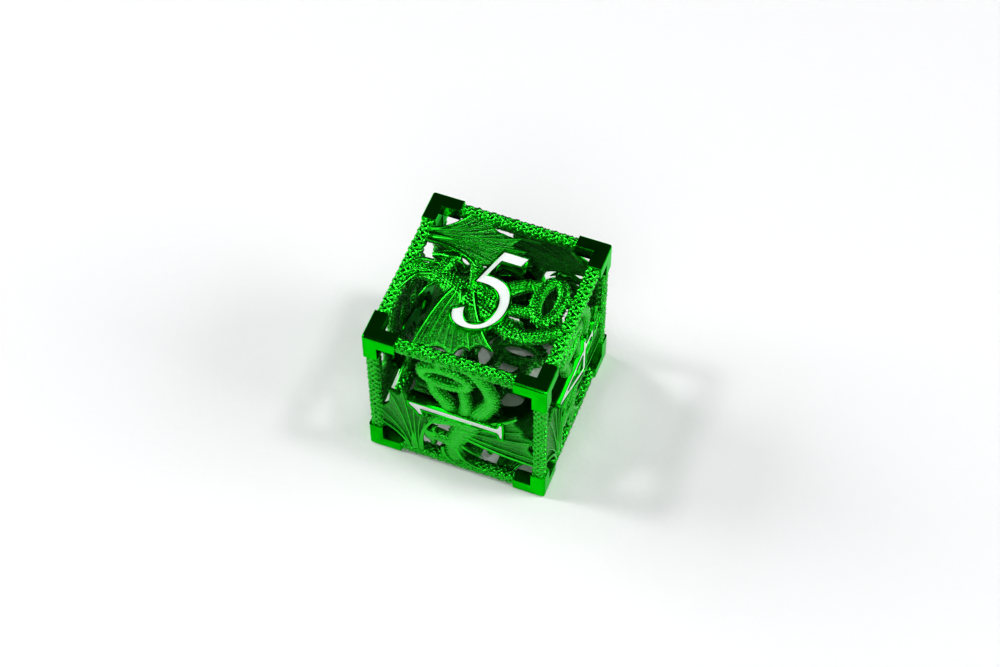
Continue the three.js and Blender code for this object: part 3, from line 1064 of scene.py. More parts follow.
@dataclass
class Cage:
    """The corner blocks and the braided rails of the cube's edges.

    Attributes:
        measures: The die's measures.
        finishes: Its materials.
        edge_round: Rounding of the cube's outer edges, in millimetres like every size here.
        step_round: Rounding of the blocks' other edges.
        strands: Strands of the braid that wind each way.
        turns: Turns of a strand along a rail.
        strand_radius: Radius of a strand.
        weave: How far a strand rises and falls as it crosses others.
        overlap: How far the braid runs into a corner block.
        core_round: Rounding of the braid's core.
        core_gap: How far the core lies under the strands' middle.
        strand_steps: Points along a strand.
        strand_twists: Turns of a lobed strand about itself.
    """

    measures: Measures
    finishes: Finishes
    edge_round: float = 0.3
    step_round: float = 0.08
    strands: int = 5
    turns: float = 3.0
    strand_radius: float = 0.25
    weave: float = 0.12
    overlap: float = 0.12
    core_round: float = 0.15
    core_gap: float = 0.05
    strand_steps: int = 96
    strand_twists: int = 9

    def corner_mesh(self) -> bpy.types.Mesh:
        """Returns the corner block at +X +Y +Z about the cube's centre, with rounded edges."""
        m = self.measures
        stops = (m.half - m.arm, m.half - m.bar, m.half)
        filled = {(1, 1, 1), (0, 1, 1), (1, 0, 1), (1, 1, 0)}
        bm = bmesh.new()
        for cell in filled:
            for index in range(3):
                for sign in (1, -1):
                    beside = tuple(c + (sign if k == index else 0) for k, c in enumerate(cell))
                    if beside not in filled:
                        self._cell_face(bm, stops, cell, index, sign)
        bmesh.ops.remove_doubles(bm, verts=bm.verts, dist=1e-4)
        bmesh.ops.dissolve_limit(bm, angle_limit=0.01, verts=bm.verts, edges=bm.edges)
        bmesh.ops.recalc_face_normals(bm, faces=bm.faces)
        weight = bm.edges.layers.float.new("bevel_weight_edge")
        for edge in bm.edges:
            outer = all(max(f.calc_center_median()) > m.half - 1e-3 for f in edge.link_faces)
            sharp = outer and edge.calc_face_angle() > 0.1
            edge[weight] = 1.0 if sharp else self.step_round / self.edge_round
        for face in bm.faces:
            face.smooth = True
        mesh = finished_mesh("corner_block", bm, self.finishes.polished)
        block = linked("corner_block", mesh)
        bevel = block.modifiers.new("rounding", "BEVEL")
        bevel.limit_method = "WEIGHT"
        bevel.width = self.edge_round
        bevel.segments = 4
        bevel.harden_normals = True
        rounded = baked(block)
        bpy.data.objects.remove(block)
        return rounded

    @staticmethod
    def _cell_face(
        bm: bmesh.types.BMesh, stops: Sequence[float], cell: tuple[int, ...], index: int, sign: int
    ) -> None:
        """Adds one face of a cell of the grid that some stops cut.

        Args:
            bm: The mesh to add it to.
            stops: The grid's lines, the same along each axis.
            cell: The cell's number along each axis.
            index: The axis that the face looks along.
            sign: Which way it looks.
        """
        low = [stops[c] for c in cell]
        high = [stops[c + 1] for c in cell]
        others = [k for k in range(3) if k != index]
        corners = []
        for a, b in ((0, 0), (1, 0), (1, 1), (0, 1)):
            spot = [0.0, 0.0, 0.0]
            spot[index] = high[index] if sign > 0 else low[index]
            spot[others[0]] = high[others[0]] if a else low[others[0]]
            spot[others[1]] = high[others[1]] if b else low[others[1]]
            corners.append(bm.verts.new(spot))
        bm.faces.new(corners)

    def rail_meshes(self) -> list[bpy.types.Mesh]:
        """Returns the braid and its core, along X about the middle of the bar."""
        m = self.measures
        length = m.rail_length + 2 * self.overlap
        half = m.thickness
        path = half - self.strand_radius - self.weave
        source = linked("braid_start", bpy.data.meshes.new("braid_start"))
        braid = braid_recipe().make(
            source,
            length=length,
            pitch=length / self.turns,
            strands=self.strands,
            half=path + self.core_gap,
            thick=self.strand_radius,
            weave=self.weave,
            steps=self.strand_steps,
            twist=2 * math.pi * self.strand_twists,
            material=self.finishes.braid,
        )
        bm = bmesh.new()
        bmesh.ops.create_cube(bm, size=1.0)
        bmesh.ops.scale(bm, vec=(length, 2 * path, 2 * path), verts=bm.verts)
        bmesh.ops.bevel(bm, geom=bm.edges[:], offset=self.core_round, segments=2, affect="EDGES")
        return [braid, finished_mesh("braid_core", bm, self.finishes.braid)]

    def build(self) -> None:
        """Places the corner blocks and the rails."""
        m = self.measures
        centre = Matrix.Scale(MM, 4) @ Matrix.Translation((0, 0, m.half))
        corner = self.corner_mesh()
        for sx, sy, sz in itertools.product((1, -1), repeat=3):
            axes = [axis(0, sx), axis(1, sy), axis(2, sz)]
            if sx * sy * sz < 0:
                axes[0], axes[1] = axes[1], axes[0]
            words = "_".join((SIDE_WORDS[2][sz], SIDE_WORDS[1][sy], SIDE_WORDS[0][sx]))
            piece = merged("block_" + words, [corner], centre @ basis(*axes))
            deliver(piece, "corner_" + words)
        rail = self.rail_meshes()
        offset = Matrix.Translation((0, m.half + m.middle, m.half + m.middle))
        for (a, b), sa, sb in itertools.product(((2, 1), (2, 0), (1, 0)), (1, -1), (1, -1)):
            y, z = axis(a, sa), axis(b, sb)
            words = f"{SIDE_WORDS[a][sa]}_{SIDE_WORDS[b][sb]}"
            place = centre @ basis(y.cross(z), y, z) @ offset
            deliver(merged("braid_" + words, rail, place), "rail_" + words)


# ---- Dragon -------------------------------------------------------------------------------------


@dataclass(frozen=True)
class WingPlan:
    """Outline of a wing on the drawing grid.

    Attributes:
        leading: Start, bend and end of the leading edge.
        trailing: Start, bend and end of the trailing edge, which starts at the root.
        tips: Finger tips along the hem, from the leading edge to the trailing one.
        scallop: How deep the hem is hollowed between them.
    """

    leading: tuple[Point, Point, Point]
    trailing: tuple[Point, Point, Point]
    tips: tuple[Point, ...]
    scallop: float = 0.2

    def hem(self, u: float) -> Vector:
        """Follows the scalloped hem.

        Args:
            u: Share of the hem, from the leading edge to the trailing one.

        Returns:
            The point there.
        """
        stops = [Vector(self.leading[2]), *map(Vector, self.tips)]
        spans = len(stops) - 1
        k = min(int(u * spans), spans - 1)
        w = u * spans - k
        point = stops[k].lerp(stops[k + 1], w)
        root = (Vector(self.leading[0]) + Vector(self.trailing[0])) / 2
        depth = self.scallop * 2 * w * (1 - w) if k else 0.0
        return point.lerp(root, depth)

    def point(self, u: float, v: float) -> Vector:
        """Spans the wing between its edges, its root and its hem.

        Args:
            u: Share of the way across the fingers.
            v: Share of the way from the root to the hem.

        Returns:
            The point there.
        """
        edges = [quadratic(line, v) for line in (self.leading, self.trailing)]
        root = Vector(self.leading[0]).lerp(Vector(self.trailing[0]), u)
        hem = self.hem(u)
        ends = [self.hem(0.0), self.hem(1.0)]
        roots = [Vector(self.leading[0]), Vector(self.trailing[0])]
        corner = [roots[k].lerp(ends[k], v) for k in (0, 1)]
        return root.lerp(hem, v) + edges[0].lerp(edges[1], u) - corner[0].lerp(corner[1], u)

    @property
    def finger_shares(self) -> list[float]:
        """Shares of the hem at which the fingers end."""
        spans = len(self.tips)
        return [k / spans for k in range(spans + 1)]


def quadratic(points: Sequence[Point], t: float) -> Vector:
    """Returns a point of the quadratic Bezier curve with three control points."""
    a, b, c = (Vector(point) for point in points)
    return a.lerp(b, t).lerp(b.lerp(c, t), t)


UPPER_WING = WingPlan(
    leading=((-10.4, 6.6), (-8.0, 6.9), (-6.2, 10.4)),
    trailing=((-10.4, 4.8), (-5.2, 5.2), (-2.6, 2.9)),
    tips=((-3.4, 10.4), (0.9, 8.9), (2.0, 7.2), (1.0, 5.6), (-0.6, 4.2), (-2.6, 2.9)),
)
LOWER_WING = WingPlan(
    leading=((-4.1, -0.6), (-5.6, -3.6), (-5.9, -10.4)),
    trailing=((-1.6, -0.4), (0.4, -5.2), (3.4, -7.9)),
    tips=((-4.4, -10.4), (-0.9, -10.4), (0.9, -8.7), (3.4, -7.9)),
)
BACK = Strand(
    ((-10.4, 0.2), (-8.2, 0.6), (-5.6, 0.1), (-3.2, -1.0), (-1.2, -1.8), (0.4, -2.3)),
    (1.25, 1.2, 1.3, 1.6, 2.0, 1.9),
)
SHOULDER = Strand(((-3.3, 4.1), (-2.5, 2.6), (-1.7, 0.9), (-1.2, -0.8)), (0.45, 0.8, 1.1, 1.3))
THROAT_STRANDS = (
    Strand(((-7.2, 0.2), (-6.7, 1.2), (-6.4, 2.2), (-6.3, 3.0)), (0.95, 0.85, 0.85), (0.0, 0.05)),
)
HEAD_STRANDS = (
    Strand(
        ((-5.0, 3.5), (-5.8, 3.6), (-6.7, 3.5), (-7.6, 3.35), (-8.6, 3.1)),
        (0.5, 0.95, 0.95, 0.66, 0.5, 0.2),
        (0.1, 0.15, 0.05),
    ),
    Strand(((-6.0, 2.8), (-6.8, 2.4), (-7.5, 2.2), (-8.2, 2.2)), (0.55, 0.45, 0.32, 0.1)),
)
HORN_STRANDS = (
    Strand(
        ((-5.9, 3.9), (-5.1, 4.3), (-4.3, 4.1), (-3.7, 3.4)), (0.36, 0.4, 0.34, 0.05), (0.35, 0.1)
    ),
    Strand(((-5.5, 3.2), (-4.8, 3.2), (-4.1, 2.6)), (0.3, 0.26, 0.04), (0.35, 0.1)),
    Strand(((-5.8, 2.6), (-5.2, 2.2), (-4.8, 1.7)), (0.22, 0.14, 0.03), (0.3, 0.2)),
    Strand(((-6.2, 4.0), (-6.8, 4.15), (-7.4, 3.85)), (0.12, 0.2, 0.06), (0.45, 0.4)),
    Strand(((-8.0, 3.5), (-8.4, 3.5), (-8.7, 3.2)), (0.12, 0.18, 0.08), (0.3, 0.2)),
    Strand(((-6.4, -0.6), (-7.4, -1.9), (-7.9, -3.5)), (0.34, 0.22, 0.03), (0.4, 0.3)),
)
CLAW_STRANDS = (
    Strand(
        ((-7.4, 0.2), (-9.15, -0.6), (-10.0, -2.1), (-10.5, -3.7)),
        (0.32, 0.26, 0.17, 0.03),
        (0.4, 0.6, 0.62),
    ),
    Strand(
        ((-8.0, 2.0), (-9.6, 1.7), (-10.9, 0.1), (-11.5, -1.5)),
        (0.3, 0.26, 0.17, 0.03),
        (0.4, 0.6, 0.62),
    ),
)
TAIL_STRANDS = (
    Strand(
        ((-0.4, -2.2), (2.2, -3.3), (5.0, -4.6), (7.6, -4.0), (10.4, -2.2)),
        (1.4, 1.15, 0.95, 0.85, 0.8),
    ),
    Strand(((-0.4, 0.6), (1.8, 1.3), (3.6, 2.6), (5.4, 3.2), (6.8, 3.0)), (1.2, 0.95, 0.75, 0.65)),
    Strand(((-0.4, -0.6), (2.2, -1.3), (4.2, -1.1), (6.2, -0.7)), (1.0, 0.8, 0.65)),
    Strand(((8.8, 2.0), (10.4, 2.4)), (0.7, 0.7)),
    Strand(ring_points((7.45, 1.4), 1.5, 3.1), (0.72, 0.72), (0.08, 0.08), closed=True),
)


@dataclass
class Dragon:
    """The winged dragon of one side: body and head, coiled tail and two wings.

    Attributes:
        measures: The die's measures.
        finishes: Its materials.
        scale_length: Length of a scale, in millimetres like every size here.
        scale_lift: How far a scale's free end is turned up or down, in radians.
        scale_swell: How much longer than its length a scale is drawn.
        row_share: Distance between rows as a share of a scale's length.
        skin: Room left above a limb for its scales.
        limb_step: Distance between a scaled limb's rings.
        limb_sides: Its number of sides.
        bone_step: Distance between a smooth tube's rings.
        bone_sides: Its number of sides.
        spike_spacing: Distance between spikes.
        spike_width: Radius of a spike's foot.
        spike_lean: How far a spike leans along its limb.
        spike_sink: Share of the limb's radius at which it stands.
        ribs: Ribs between two fingers of a wing.
        columns: Membrane columns for each rib.
        rows: Membrane rows from the wrist to the hem.
        rib_height: Height of a rib.
        rib_power: How narrow a rib is.
        sag: How far the membrane sinks between fingers.
        wrist_rise: How far it rises at the wrist.
        finger_radius: Radius of a finger bone.
        edge_radius: Radius of the bones along a wing's edges.
        arm_share: How much thicker the trailing bone is.
        finger_end: How far a finger runs past the hem, in grid steps.
        finger_rise: How far bones lie above the membrane.
        root_rise: How much higher they lie at the wrist.
        claw_reach: How far claws reach from the screen's middle.
        membrane_top: Height of the membranes.
        membrane_thickness: Their thickness.
        meshes: The finished meshes of each part.
    """

    measures: Measures
    finishes: Finishes
    scale_length: float = 0.34
    scale_lift: float = -0.08
    scale_swell: float = 1.25
    row_share: float = 0.62
    skin: float = 0.1
    limb_step: float = 0.22
    limb_sides: int = 20
    bone_step: float = 0.12
    bone_sides: int = 10
    spike_spacing: float = 0.55
    spike_width: float = 0.17
    spike_lean: float = 0.7
    spike_sink: float = 0.85
    ribs: int = 3
    columns: int = 10
    rows: int = 24
    rib_height: float = 0.09
    rib_power: int = 5
    sag: float = 0.1
    wrist_rise: float = 0.1
    finger_radius: float = 0.085
    edge_radius: float = 0.2
    arm_share: float = 1.35
    finger_end: float = 0.25
    finger_rise: float = 0.1
    root_rise: float = 0.08
    claw_reach: float = 0.82
    membrane_top: float = -0.52
    membrane_thickness: float = 0.5
    meshes: dict[str, list[bpy.types.Mesh]] = field(default_factory=dict)

    def __post_init__(self) -> None:
        """Makes the recipes and the scale that they repeat."""
        self.scaled_tube = scaled_tube_recipe()
        self.smooth_tube = smooth_tube_recipe()
        self.spike_row = spike_row_recipe()
        self.scale = self._scale_template()

    def _scale_template(self) -> bpy.types.Object:
        """Returns one keeled scale, about one millimetre long, free end towards +X."""
        half = ((-0.55, 0.0), (-0.4, 0.34), (0.0, 0.46), (0.35, 0.3), (0.62, 0.0))
        rim = half + tuple((x, -y) for x, y in half[3:0:-1])
        bm = bmesh.new()
        edge = [bm.verts.new((x, y, -0.06)) for x, y in rim]
        keel = [bm.verts.new((-0.22, 0.0, 0.12)), bm.verts.new((0.26, 0.0, 0.21))]
        for i in range(8):
            a, b = edge[i], edge[(i + 1) % 8]
            crest = keel[1] if 2 <= i <= 5 else keel[0]
            bm.faces.new((b, a, crest))
        bm.faces.new((edge[2], keel[0], keel[1]))
        bm.faces.new((edge[6], keel[1], keel[0]))
        bm.faces.new(edge)
        bmesh.ops.recalc_face_normals(bm, faces=bm.faces)
        template = linked("scale_template", finished_mesh("scale", bm, self.finishes.scales))
        template.hide_render = True
        return template

    def _scaled(
        self, name: str, strands: Sequence[Strand], columns: int, size: float
    ) -> bpy.types.Mesh:
        """Makes scaled tubes along strands.

        Args:
            name: The curves' name.
            strands: The strands.
            columns: Scales round a tube.
            size: Length of a scale in millimetres.

        Returns:
            The tubes.
        """
        return self.scaled_tube.make(
            strand_curves(name, strands, self.measures),
            step=self.limb_step,
            sides=self.limb_sides,
            height=self.measures.thickness - self.skin,
            row=size * self.row_share,
            columns=columns,
            scale=size * self.scale_swell,
            lift=self.scale_lift,
            template=self.scale,
            material=self.finishes.scales,
        )

    def _smooth(self, name: str, strands: Sequence[Strand], height: float) -> bpy.types.Mesh:
        """Makes smooth tubes along strands.

        Args:
            name: The curves' name.
            strands: The strands.
            height: Most that a tube may rise from its middle, in millimetres.

        Returns:
            The tubes.
        """
        return self.smooth_tube.make(
            strand_curves(name, strands, self.measures, steps=16),
            step=self.bone_step,
            sides=self.bone_sides,
            height=height,
            material=self.finishes.smooth,
        )

    def _spikes(
        self, name: str, strands: Sequence[Strand], side: float, length: float
    ) -> bpy.types.Mesh:
        """Makes spikes along one side of strands.

        Args:
            name: The curves' name.
            strands: The strands.
            side: 1 for the left side, -1 for the right.
            length: Length of a spike in millimetres.

        Returns:
            The spikes.
        """
        return self.spike_row.make(
            strand_curves(name, strands, self.measures),
            spacing=self.spike_spacing,
            length=length,
            width=self.spike_width,
            side=side,
            lean=self.spike_lean,
            sink=self.spike_sink,
            material=self.finishes.scales,
        )

    def _membrane(self, plan: WingPlan) -> bpy.types.Mesh:
        """Makes a wing's membrane, hollowed between its fingers and finely ribbed.

        Args:
            plan: The wing.

        Returns:
            The membrane, closed all round.
        """
        spans = len(plan.tips)
        across = spans * self.ribs * self.columns
        bm = bmesh.new()
        top, bottom = [], []
        for j in range(self.rows + 1):
            v = j / self.rows
            for i in range(across + 1):
                u = i / across
                spot = plan.point(u, v) * self.measures.unit
                panel = u * spans % 1.0
                sag = math.sin(math.pi * panel) ** 2 * self.sag * v
                wave = math.cos(self.ribs * 2 * math.pi * panel) * 0.5 + 0.5
                rib = wave**self.rib_power * self.rib_height
                z = self.membrane_top - sag + rib + self.wrist_rise * (1 - v) ** 2
                top.append(bm.verts.new((*spot, z)))
                bottom.append(bm.verts.new((*spot, z - self.membrane_thickness)))
        width = across + 1
        for j in range(self.rows):
            for i in range(across):
                a, d = j * width + i, (j + 1) * width + i
                b, c = a + 1, d + 1
                bm.faces.new([top[k] for k in (a, b, c, d)])
                bm.faces.new([bottom[k] for k in (d, c, b, a)])
        loop = list(range(across))
        loop += [j * width + across for j in range(self.rows)]
        loop += [self.rows * width + i for i in range(across, 0, -1)]
        loop += [j * width for j in range(self.rows, 0, -1)]
        for a, b in zip(loop, loop[1:] + loop[:1]):
            bm.faces.new((top[a], top[b], bottom[b], bottom[a]))
        bmesh.ops.recalc_face_normals(bm, faces=bm.faces)
        for face in bm.faces:
            face.smooth = True
        return finished_mesh("membrane", bm, self.finishes.membrane)

    def _bones(self, plan: WingPlan, name: str) -> bpy.types.Mesh:
        """Makes a wing's bones: thin fingers, thick edges and the smooth palm where they meet.

        Args:
            plan: The wing.
            name: The curves' name.

        Returns:
            The bones.
        """
        level = self.membrane_top - self.measures.middle + self.finger_rise
        stops = (0.04, 0.25, 0.45, 0.65, 0.85, 1.0)
        strands = []
        for share in plan.finger_shares:
            line = [plan.point(share, v) for v in stops]
            line.append(line[-1] + (line[-1] - line[-2]).normalized() * self.finger_end)
            thick = self.edge_radius / self.finger_radius if share in (0.0, 1.0) else 1.0
            if share == 1.0:
                thick *= self.arm_share
            radii = tuple(self.finger_radius * thick * w for w in (1.25, 1.15, 1.0, 0.9, 0.7, 0.2))
            lift = (level + self.root_rise, level)
            strands.append(Strand(tuple(tuple(p) for p in line), radii, lift))
        palm = tuple(tuple(plan.point(0.5, v)) for v in (0.02, 0.07, 0.14, 0.26))
        low = level - self.finger_rise
        strands.append(Strand(palm, (0.5, 0.62, 0.5, 0.15), (low, low)))
        return self._smooth(name, strands, 0.5)

    def draw(self) -> None:
        """Makes the meshes that every side shares."""
        size = self.scale_length
        self.meshes = {
            "dragon_head": [
                self._scaled("body", (BACK, SHOULDER), 26, size),
                self._scaled("throat", THROAT_STRANDS, 16, size * 0.8),
                self._smooth("skull", HEAD_STRANDS, 0.8),
                self._smooth("horns", HORN_STRANDS, 1.0),
                self._spikes("back_spikes", (BACK,), 1.0, 0.5),
            ],
            "dragon_tail": [
                self._scaled("tail", TAIL_STRANDS, 18, size),
                self._spikes("tail_spikes", TAIL_STRANDS[:1], -1.0, 0.45),
                self._spikes("ring_spikes", TAIL_STRANDS[-1:], -1.0, 0.4),
            ],
            "upper_wing": [self._membrane(UPPER_WING), self._bones(UPPER_WING, "upper_bones")],
            "lower_wing": [self._membrane(LOWER_WING), self._bones(LOWER_WING, "lower_bones")],
        }
        for mesh in sum(self.meshes.values(), []):
            press(mesh, self.measures.middle, self.measures.thickness)
        claws = self._smooth("claws", CLAW_STRANDS, 1.0)
        self.meshes["dragon_head"].append(press(claws, self.measures.middle, self.claw_reach))

    def build(self, side: Side, ground: BVHTree) -> None:
        """Places the dragon on one side, sunk where the numeral stands.

        Args:
            side: The side.
            ground: A plate of the numeral's outline, as deep as the relief has to stay below.
        """
        place = side.place(self.measures.half)
        for part, meshes in self.meshes.items():
            sunk = [self._sunk(mesh, ground) for mesh in meshes]
            piece = merged(f"relief_{part}_{side.digit}", sunk, place)
            for mesh in sunk:
                bpy.data.meshes.remove(mesh)
            deliver(piece, f"{part}_{side.digit}")

    @staticmethod
    def _sunk(mesh: bpy.types.Mesh, ground: BVHTree) -> bpy.types.Mesh:
        """Copies a mesh and moves its vertices above the plate down to it.

        Args:
            mesh: The mesh.
            ground: The plate.

        Returns:
            The copy.
        """
        copy = mesh.copy()
        down = Vector((0, 0, -1))
        for vertex in copy.vertices:
            hit = ground.ray_cast(Vector((vertex.co.x, vertex.co.y, 1)), down)[0]
            if hit is not None:
                vertex.co.z = min(vertex.co.z, hit.z)
        return copy


# ---- Numerals -----------------------------------------------------------------------------------


class Pen:
    """Draws one closed outline from straight and curved stretches."""

    def __init__(self, start: Point, steps: int = 14) -> None:
        """Starts at a point, with a number of steps for each curve."""
        self.points = [Vector(start)]
        self.steps = steps

    def line(self, *points: Point) -> Pen:
        """Adds straight stretches."""
        self.points += [Vector(point) for point in points]
        return self

    def curve(self, *controls: Point) -> Pen:
        """Adds a Bezier curve of two or three further control points."""
        control = [self.points[-1], *(Vector(point) for point in controls)]
        for i in range(1, self.steps + 1):
            t = i / self.steps
            row = control
            while len(row) > 1:
                row = [a.lerp(b, t) for a, b in zip(row, row[1:])]
            self.points.append(row[0])
        return self


def glyph_outlines(digit: int) -> list[list[Vector]]:
    """Draws a numeral, ten high and centred on zero.

    Args:
        digit: The numeral.

    Returns:
        Its outline, and its hole if it has one.
    """
    match digit:
        case 1:
            pen = Pen((0.4, 5)).line((-0.1, 5)).curve((-0.6, 4.35), (-1.45, 3.95)).line((-1.35, 3.55))
            pen.line((-0.4, 3.8), (-0.4, -4.3)).curve((-0.5, -4.7), (-1.25, -4.72))
            pen.line((-1.25, -5), (1.25, -5), (1.25, -4.72)).curve((0.5, -4.7), (0.4, -4.3))
            return [pen.points]
        case 2:
            pen = Pen((-2.45, 2.5)).curve((-2.3, 4.1), (-1.2, 5), (0.2, 5))
            pen.curve((1.7, 5), (2.6, 4), (2.6, 2.6)).curve((2.6, 0.7), (1, -1.1), (-1, -3.8))
            pen.line((1.5, -3.8)).curve((2.3, -3.8), (2.55, -2.7))
            pen.line((2.95, -2.7), (2.45, -5), (-2.7, -5), (-2.7, -4.6))
            pen.curve((-0.3, -1.8), (1.35, 0.4), (1.35, 2.4)).curve((1.35, 3.5), (0.85, 4.1), (0, 4.1))
            pen.curve((-0.8, 4.1), (-1.4, 3.5), (-1.6, 2.3))
            return [pen.points]
        case 3:
            pen = Pen((-2.3, 3.2)).curve((-1.9, 4.4), (-1.05, 5), (0.1, 5))
            pen.curve((1.4, 5), (2.2, 4.2), (2.2, 3)).curve((2.2, 1.9), (1.6, 1.2), (0.9, 0.8))
            pen.curve((2, 0.3), (2.55, -0.7), (2.55, -1.9)).curve((2.55, -3.9), (1.1, -5), (-0.7, -5))
            pen.curve((-1.8, -5), (-2.55, -4.5), (-2.55, -3.5))
            pen.line((-1.55, -3.1)).curve((-1.45, -3.9), (-1.05, -4.25), (-0.45, -4.25))
            pen.curve((0.8, -4.25), (1.45, -3.3), (1.45, -1.9))
            pen.curve((1.45, -0.5), (0.6, 0.15), (-0.9, 0.15))
            pen.line((-0.9, 0.75)).curve((0.4, 0.85), (1.1, 1.7), (1.1, 2.8))
            pen.curve((1.1, 3.7), (0.65, 4.15), (-0.1, 4.15))
            pen.curve((-0.8, 4.15), (-1.4, 3.75), (-1.75, 2.95))
            return [pen.points]
        case 4:
            pen = Pen((1.4, 5)).line((0.75, 5), (-2.95, -2), (-2.95, -2.75), (0.4, -2.75), (0.4, -4.3))
            pen.curve((0.3, -4.7), (-0.4, -4.72)).line((-0.4, -5), (2.2, -5), (2.2, -4.72))
            pen.curve((1.5, -4.7), (1.4, -4.3))
            pen.line((1.4, -2.75), (2.7, -2.75), (2.7, -1.9), (1.4, -1.9))
            return [pen.points, Pen((0.4, 2.7)).line((0.4, -1.9), (-2, -1.9)).points]
        case 5:
            pen = Pen((-0.2, 5)).line((-1.6, 0.6)).curve((0.6, 0.95), (1.6, 0), (1.6, -1.7))
            pen.curve((1.6, -3.2), (0.9, -4.4), (-0.3, -4.4))
            pen.curve((-1, -4.4), (-1.45, -3.7), (-1.5, -2.6))
            pen.line((-2.5, -3.3)).curve((-2.5, -4.4), (-1.7, -5), (-0.7, -5))
            pen.curve((1.1, -5), (2.5, -3.6), (2.5, -1.4)).curve((2.5, 0.8), (1.1, 1.95), (-0.8, 1.65))
            pen.line((-0.05, 3.85), (2, 3.85), (2.45, 5))
            return [pen.points]
        case _:
            pen = Pen((2, 5)).curve((-0.9, 4.3), (-2.65, 1.9), (-2.65, -1.3))
            pen.curve((-2.65, -3.7), (-1.5, -5), (0.05, -5))
            pen.curve((1.7, -5), (2.65, -3.8), (2.65, -1.95))
            pen.curve((2.65, -0.1), (1.7, 0.95), (0.3, 0.95))
            pen.curve((-0.4, 0.95), (-1, 0.7), (-1.35, 0.2))
            pen.curve((-1, 2.2), (0.3, 3.8), (2.2, 4.5))
            return [pen.points, [Vector(p) for p in ring_points((0.05, -2.1), 1.35, 2.15, 40)[:-1]]]


def area(points: Sequence[Vector]) -> float:
    """Returns the signed area of a closed outline, positive when it runs anticlockwise."""
    return sum(a.cross(b) for a, b in zip(points, [*points[1:], points[0]])) / 2


def grown(points: Sequence[Vector], distance: float) -> list[Vector]:
    """Moves each point of a closed outline to the right of its direction.

    Args:
        points: The outline.
        distance: How far to move them.

    Returns:
        The moved outline.
    """
    count = len(points)
    found = []
    for i, point in enumerate(points):
        before = (point - points[i - 1]).normalized()
        after = (points[(i + 1) % count] - point).normalized()
        mitre = Vector((before.y + after.y, -before.x - after.x))
        found.append(point + mitre * (2 * distance / mitre.length_squared))
    return found


@dataclass
class Numeral:
    """The metal numeral of one side and the enamel in its pocket.

    Attributes:
        measures: The die's measures.
        finishes: Its materials.
        rounding: Rounding of the rim, in millimetres like every size here.
        chamfer: Share of the rounding at its middle point.
        gap: Clearance round the enamel.
        meniscus: How far the enamel climbs the pocket's wall.
        film: Gap under the enamel.
        crown: Distance from the pocket's wall to the level middle of the enamel.
        clearance: How far the dragon stays below the pocket.
        plate_depth: Depth of the plate that keeps it there.
    """

    measures: Measures
    finishes: Finishes
    rounding: float = 0.07
    chamfer: float = 0.3
    gap: float = 0.03
    meniscus: float = 0.03
    film: float = 0.01
    crown: float = 0.16
    clearance: float = 0.05
    plate_depth: float = 0.2

    def outlines(self, digit: int) -> list[list[Vector]]:
        """Sizes a numeral's outline and holes, and runs them with the metal on their right.

        Args:
            digit: The numeral.

        Returns:
            The outlines of its enamel in millimetres.
        """
        size = self.measures.numeral_height / CAP_HEIGHT
        found = []
        for k, outline in enumerate(glyph_outlines(digit)):
            scaled = [point * size for point in outline]
            found.append(scaled if (area(scaled) > 0) == (k == 0) else scaled[::-1])
        return found

    def _solid(
        self, name: str, digit: int, profile: Sequence[Point], material: bpy.types.Material
    ) -> bpy.types.Mesh:
        """Sweeps a profile round the numeral's outlines and closes both of its ends.

        Args:
            name: The mesh's name.
            digit: The numeral.
            profile: Pairs of a distance from the enamel's outline and a height.
            material: The material.

        Returns:
            The closed mesh.
        """
        bm = bmesh.new()
        ends: tuple[list, list] = ([], [])
        for outline in self.outlines(digit):
            loops = [
                [bm.verts.new((*point, height)) for point in grown(outline, distance)]
                for distance, height in profile
            ]
            count = len(outline)
            for low, high in zip(loops, loops[1:]):
                for i in range(count):
                    j = (i + 1) % count
                    bm.faces.new((low[i], low[j], high[j], high[i])).smooth = True
            for end, loop in zip(ends, (loops[0], loops[-1])):
                end += [bm.edges.get((loop[i], loop[(i + 1) % count])) for i in range(count)]
        for edges in ends:
            bmesh.ops.triangle_fill(bm, use_beauty=True, use_dissolve=False, edges=edges)
        bmesh.ops.recalc_face_normals(bm, faces=bm.faces)
        return finished_mesh(name, bm, material)

    def ground(self, side: Side) -> BVHTree:
        """Makes a plate under a side's numeral, below the pocket that holds the enamel.

        Args:
            side: The side.

        Returns:
            The plate, ready for rays to be cast on it.
        """
        m = self.measures
        low = m.enamel_low - self.clearance
        profile = [(m.rim, low - self.plate_depth), (m.rim, low)]
        plate = self._solid("plate", side.digit, profile, self.finishes.rim)
        bm = bmesh.new()
        bm.from_mesh(plate)
        bpy.data.meshes.remove(plate)
        tree = BVHTree.FromBMesh(bm)
        bm.free()
        return tree

    def build(self, side: Side) -> None:
        """Places the numeral and its enamel on one side.

        Args:
            side: The side.
        """
        m, r = self.measures, self.rounding
        place = side.place(m.half)
        top, rim, c = -m.numeral_step, m.rim, r * self.chamfer
        wall = [(rim - r, -m.bar), (rim, -m.bar + r), (rim, top - r), (rim - c, top - c)]
        pocket = [(rim - r, top), (r, top), (c, top - c), (0.0, top - r), (0.0, m.enamel_low)]
        metal = self._solid("numeral", side.digit, wall + pocket, self.finishes.rim)
        high, gap, rise = m.enamel_high, self.gap, self.meniscus
        pour = [(-gap, m.enamel_low + self.film), (-gap, high + rise)]
        pour += [(-2 * gap, high), (-self.crown, high - rise)]
        enamel = self._solid("enamel", side.digit, pour, self.finishes.enamel)
        metal_piece = merged(f"metal_numeral_{side.digit}", [metal], place)
        deliver(metal_piece, f"numeral_{side.digit}")
        enamel_piece = merged(f"enamel_fill_{side.digit}", [enamel], place)
        deliver(enamel_piece, f"enamel_{side.digit}")


# ---- Studio -------------------------------------------------------------------------------------


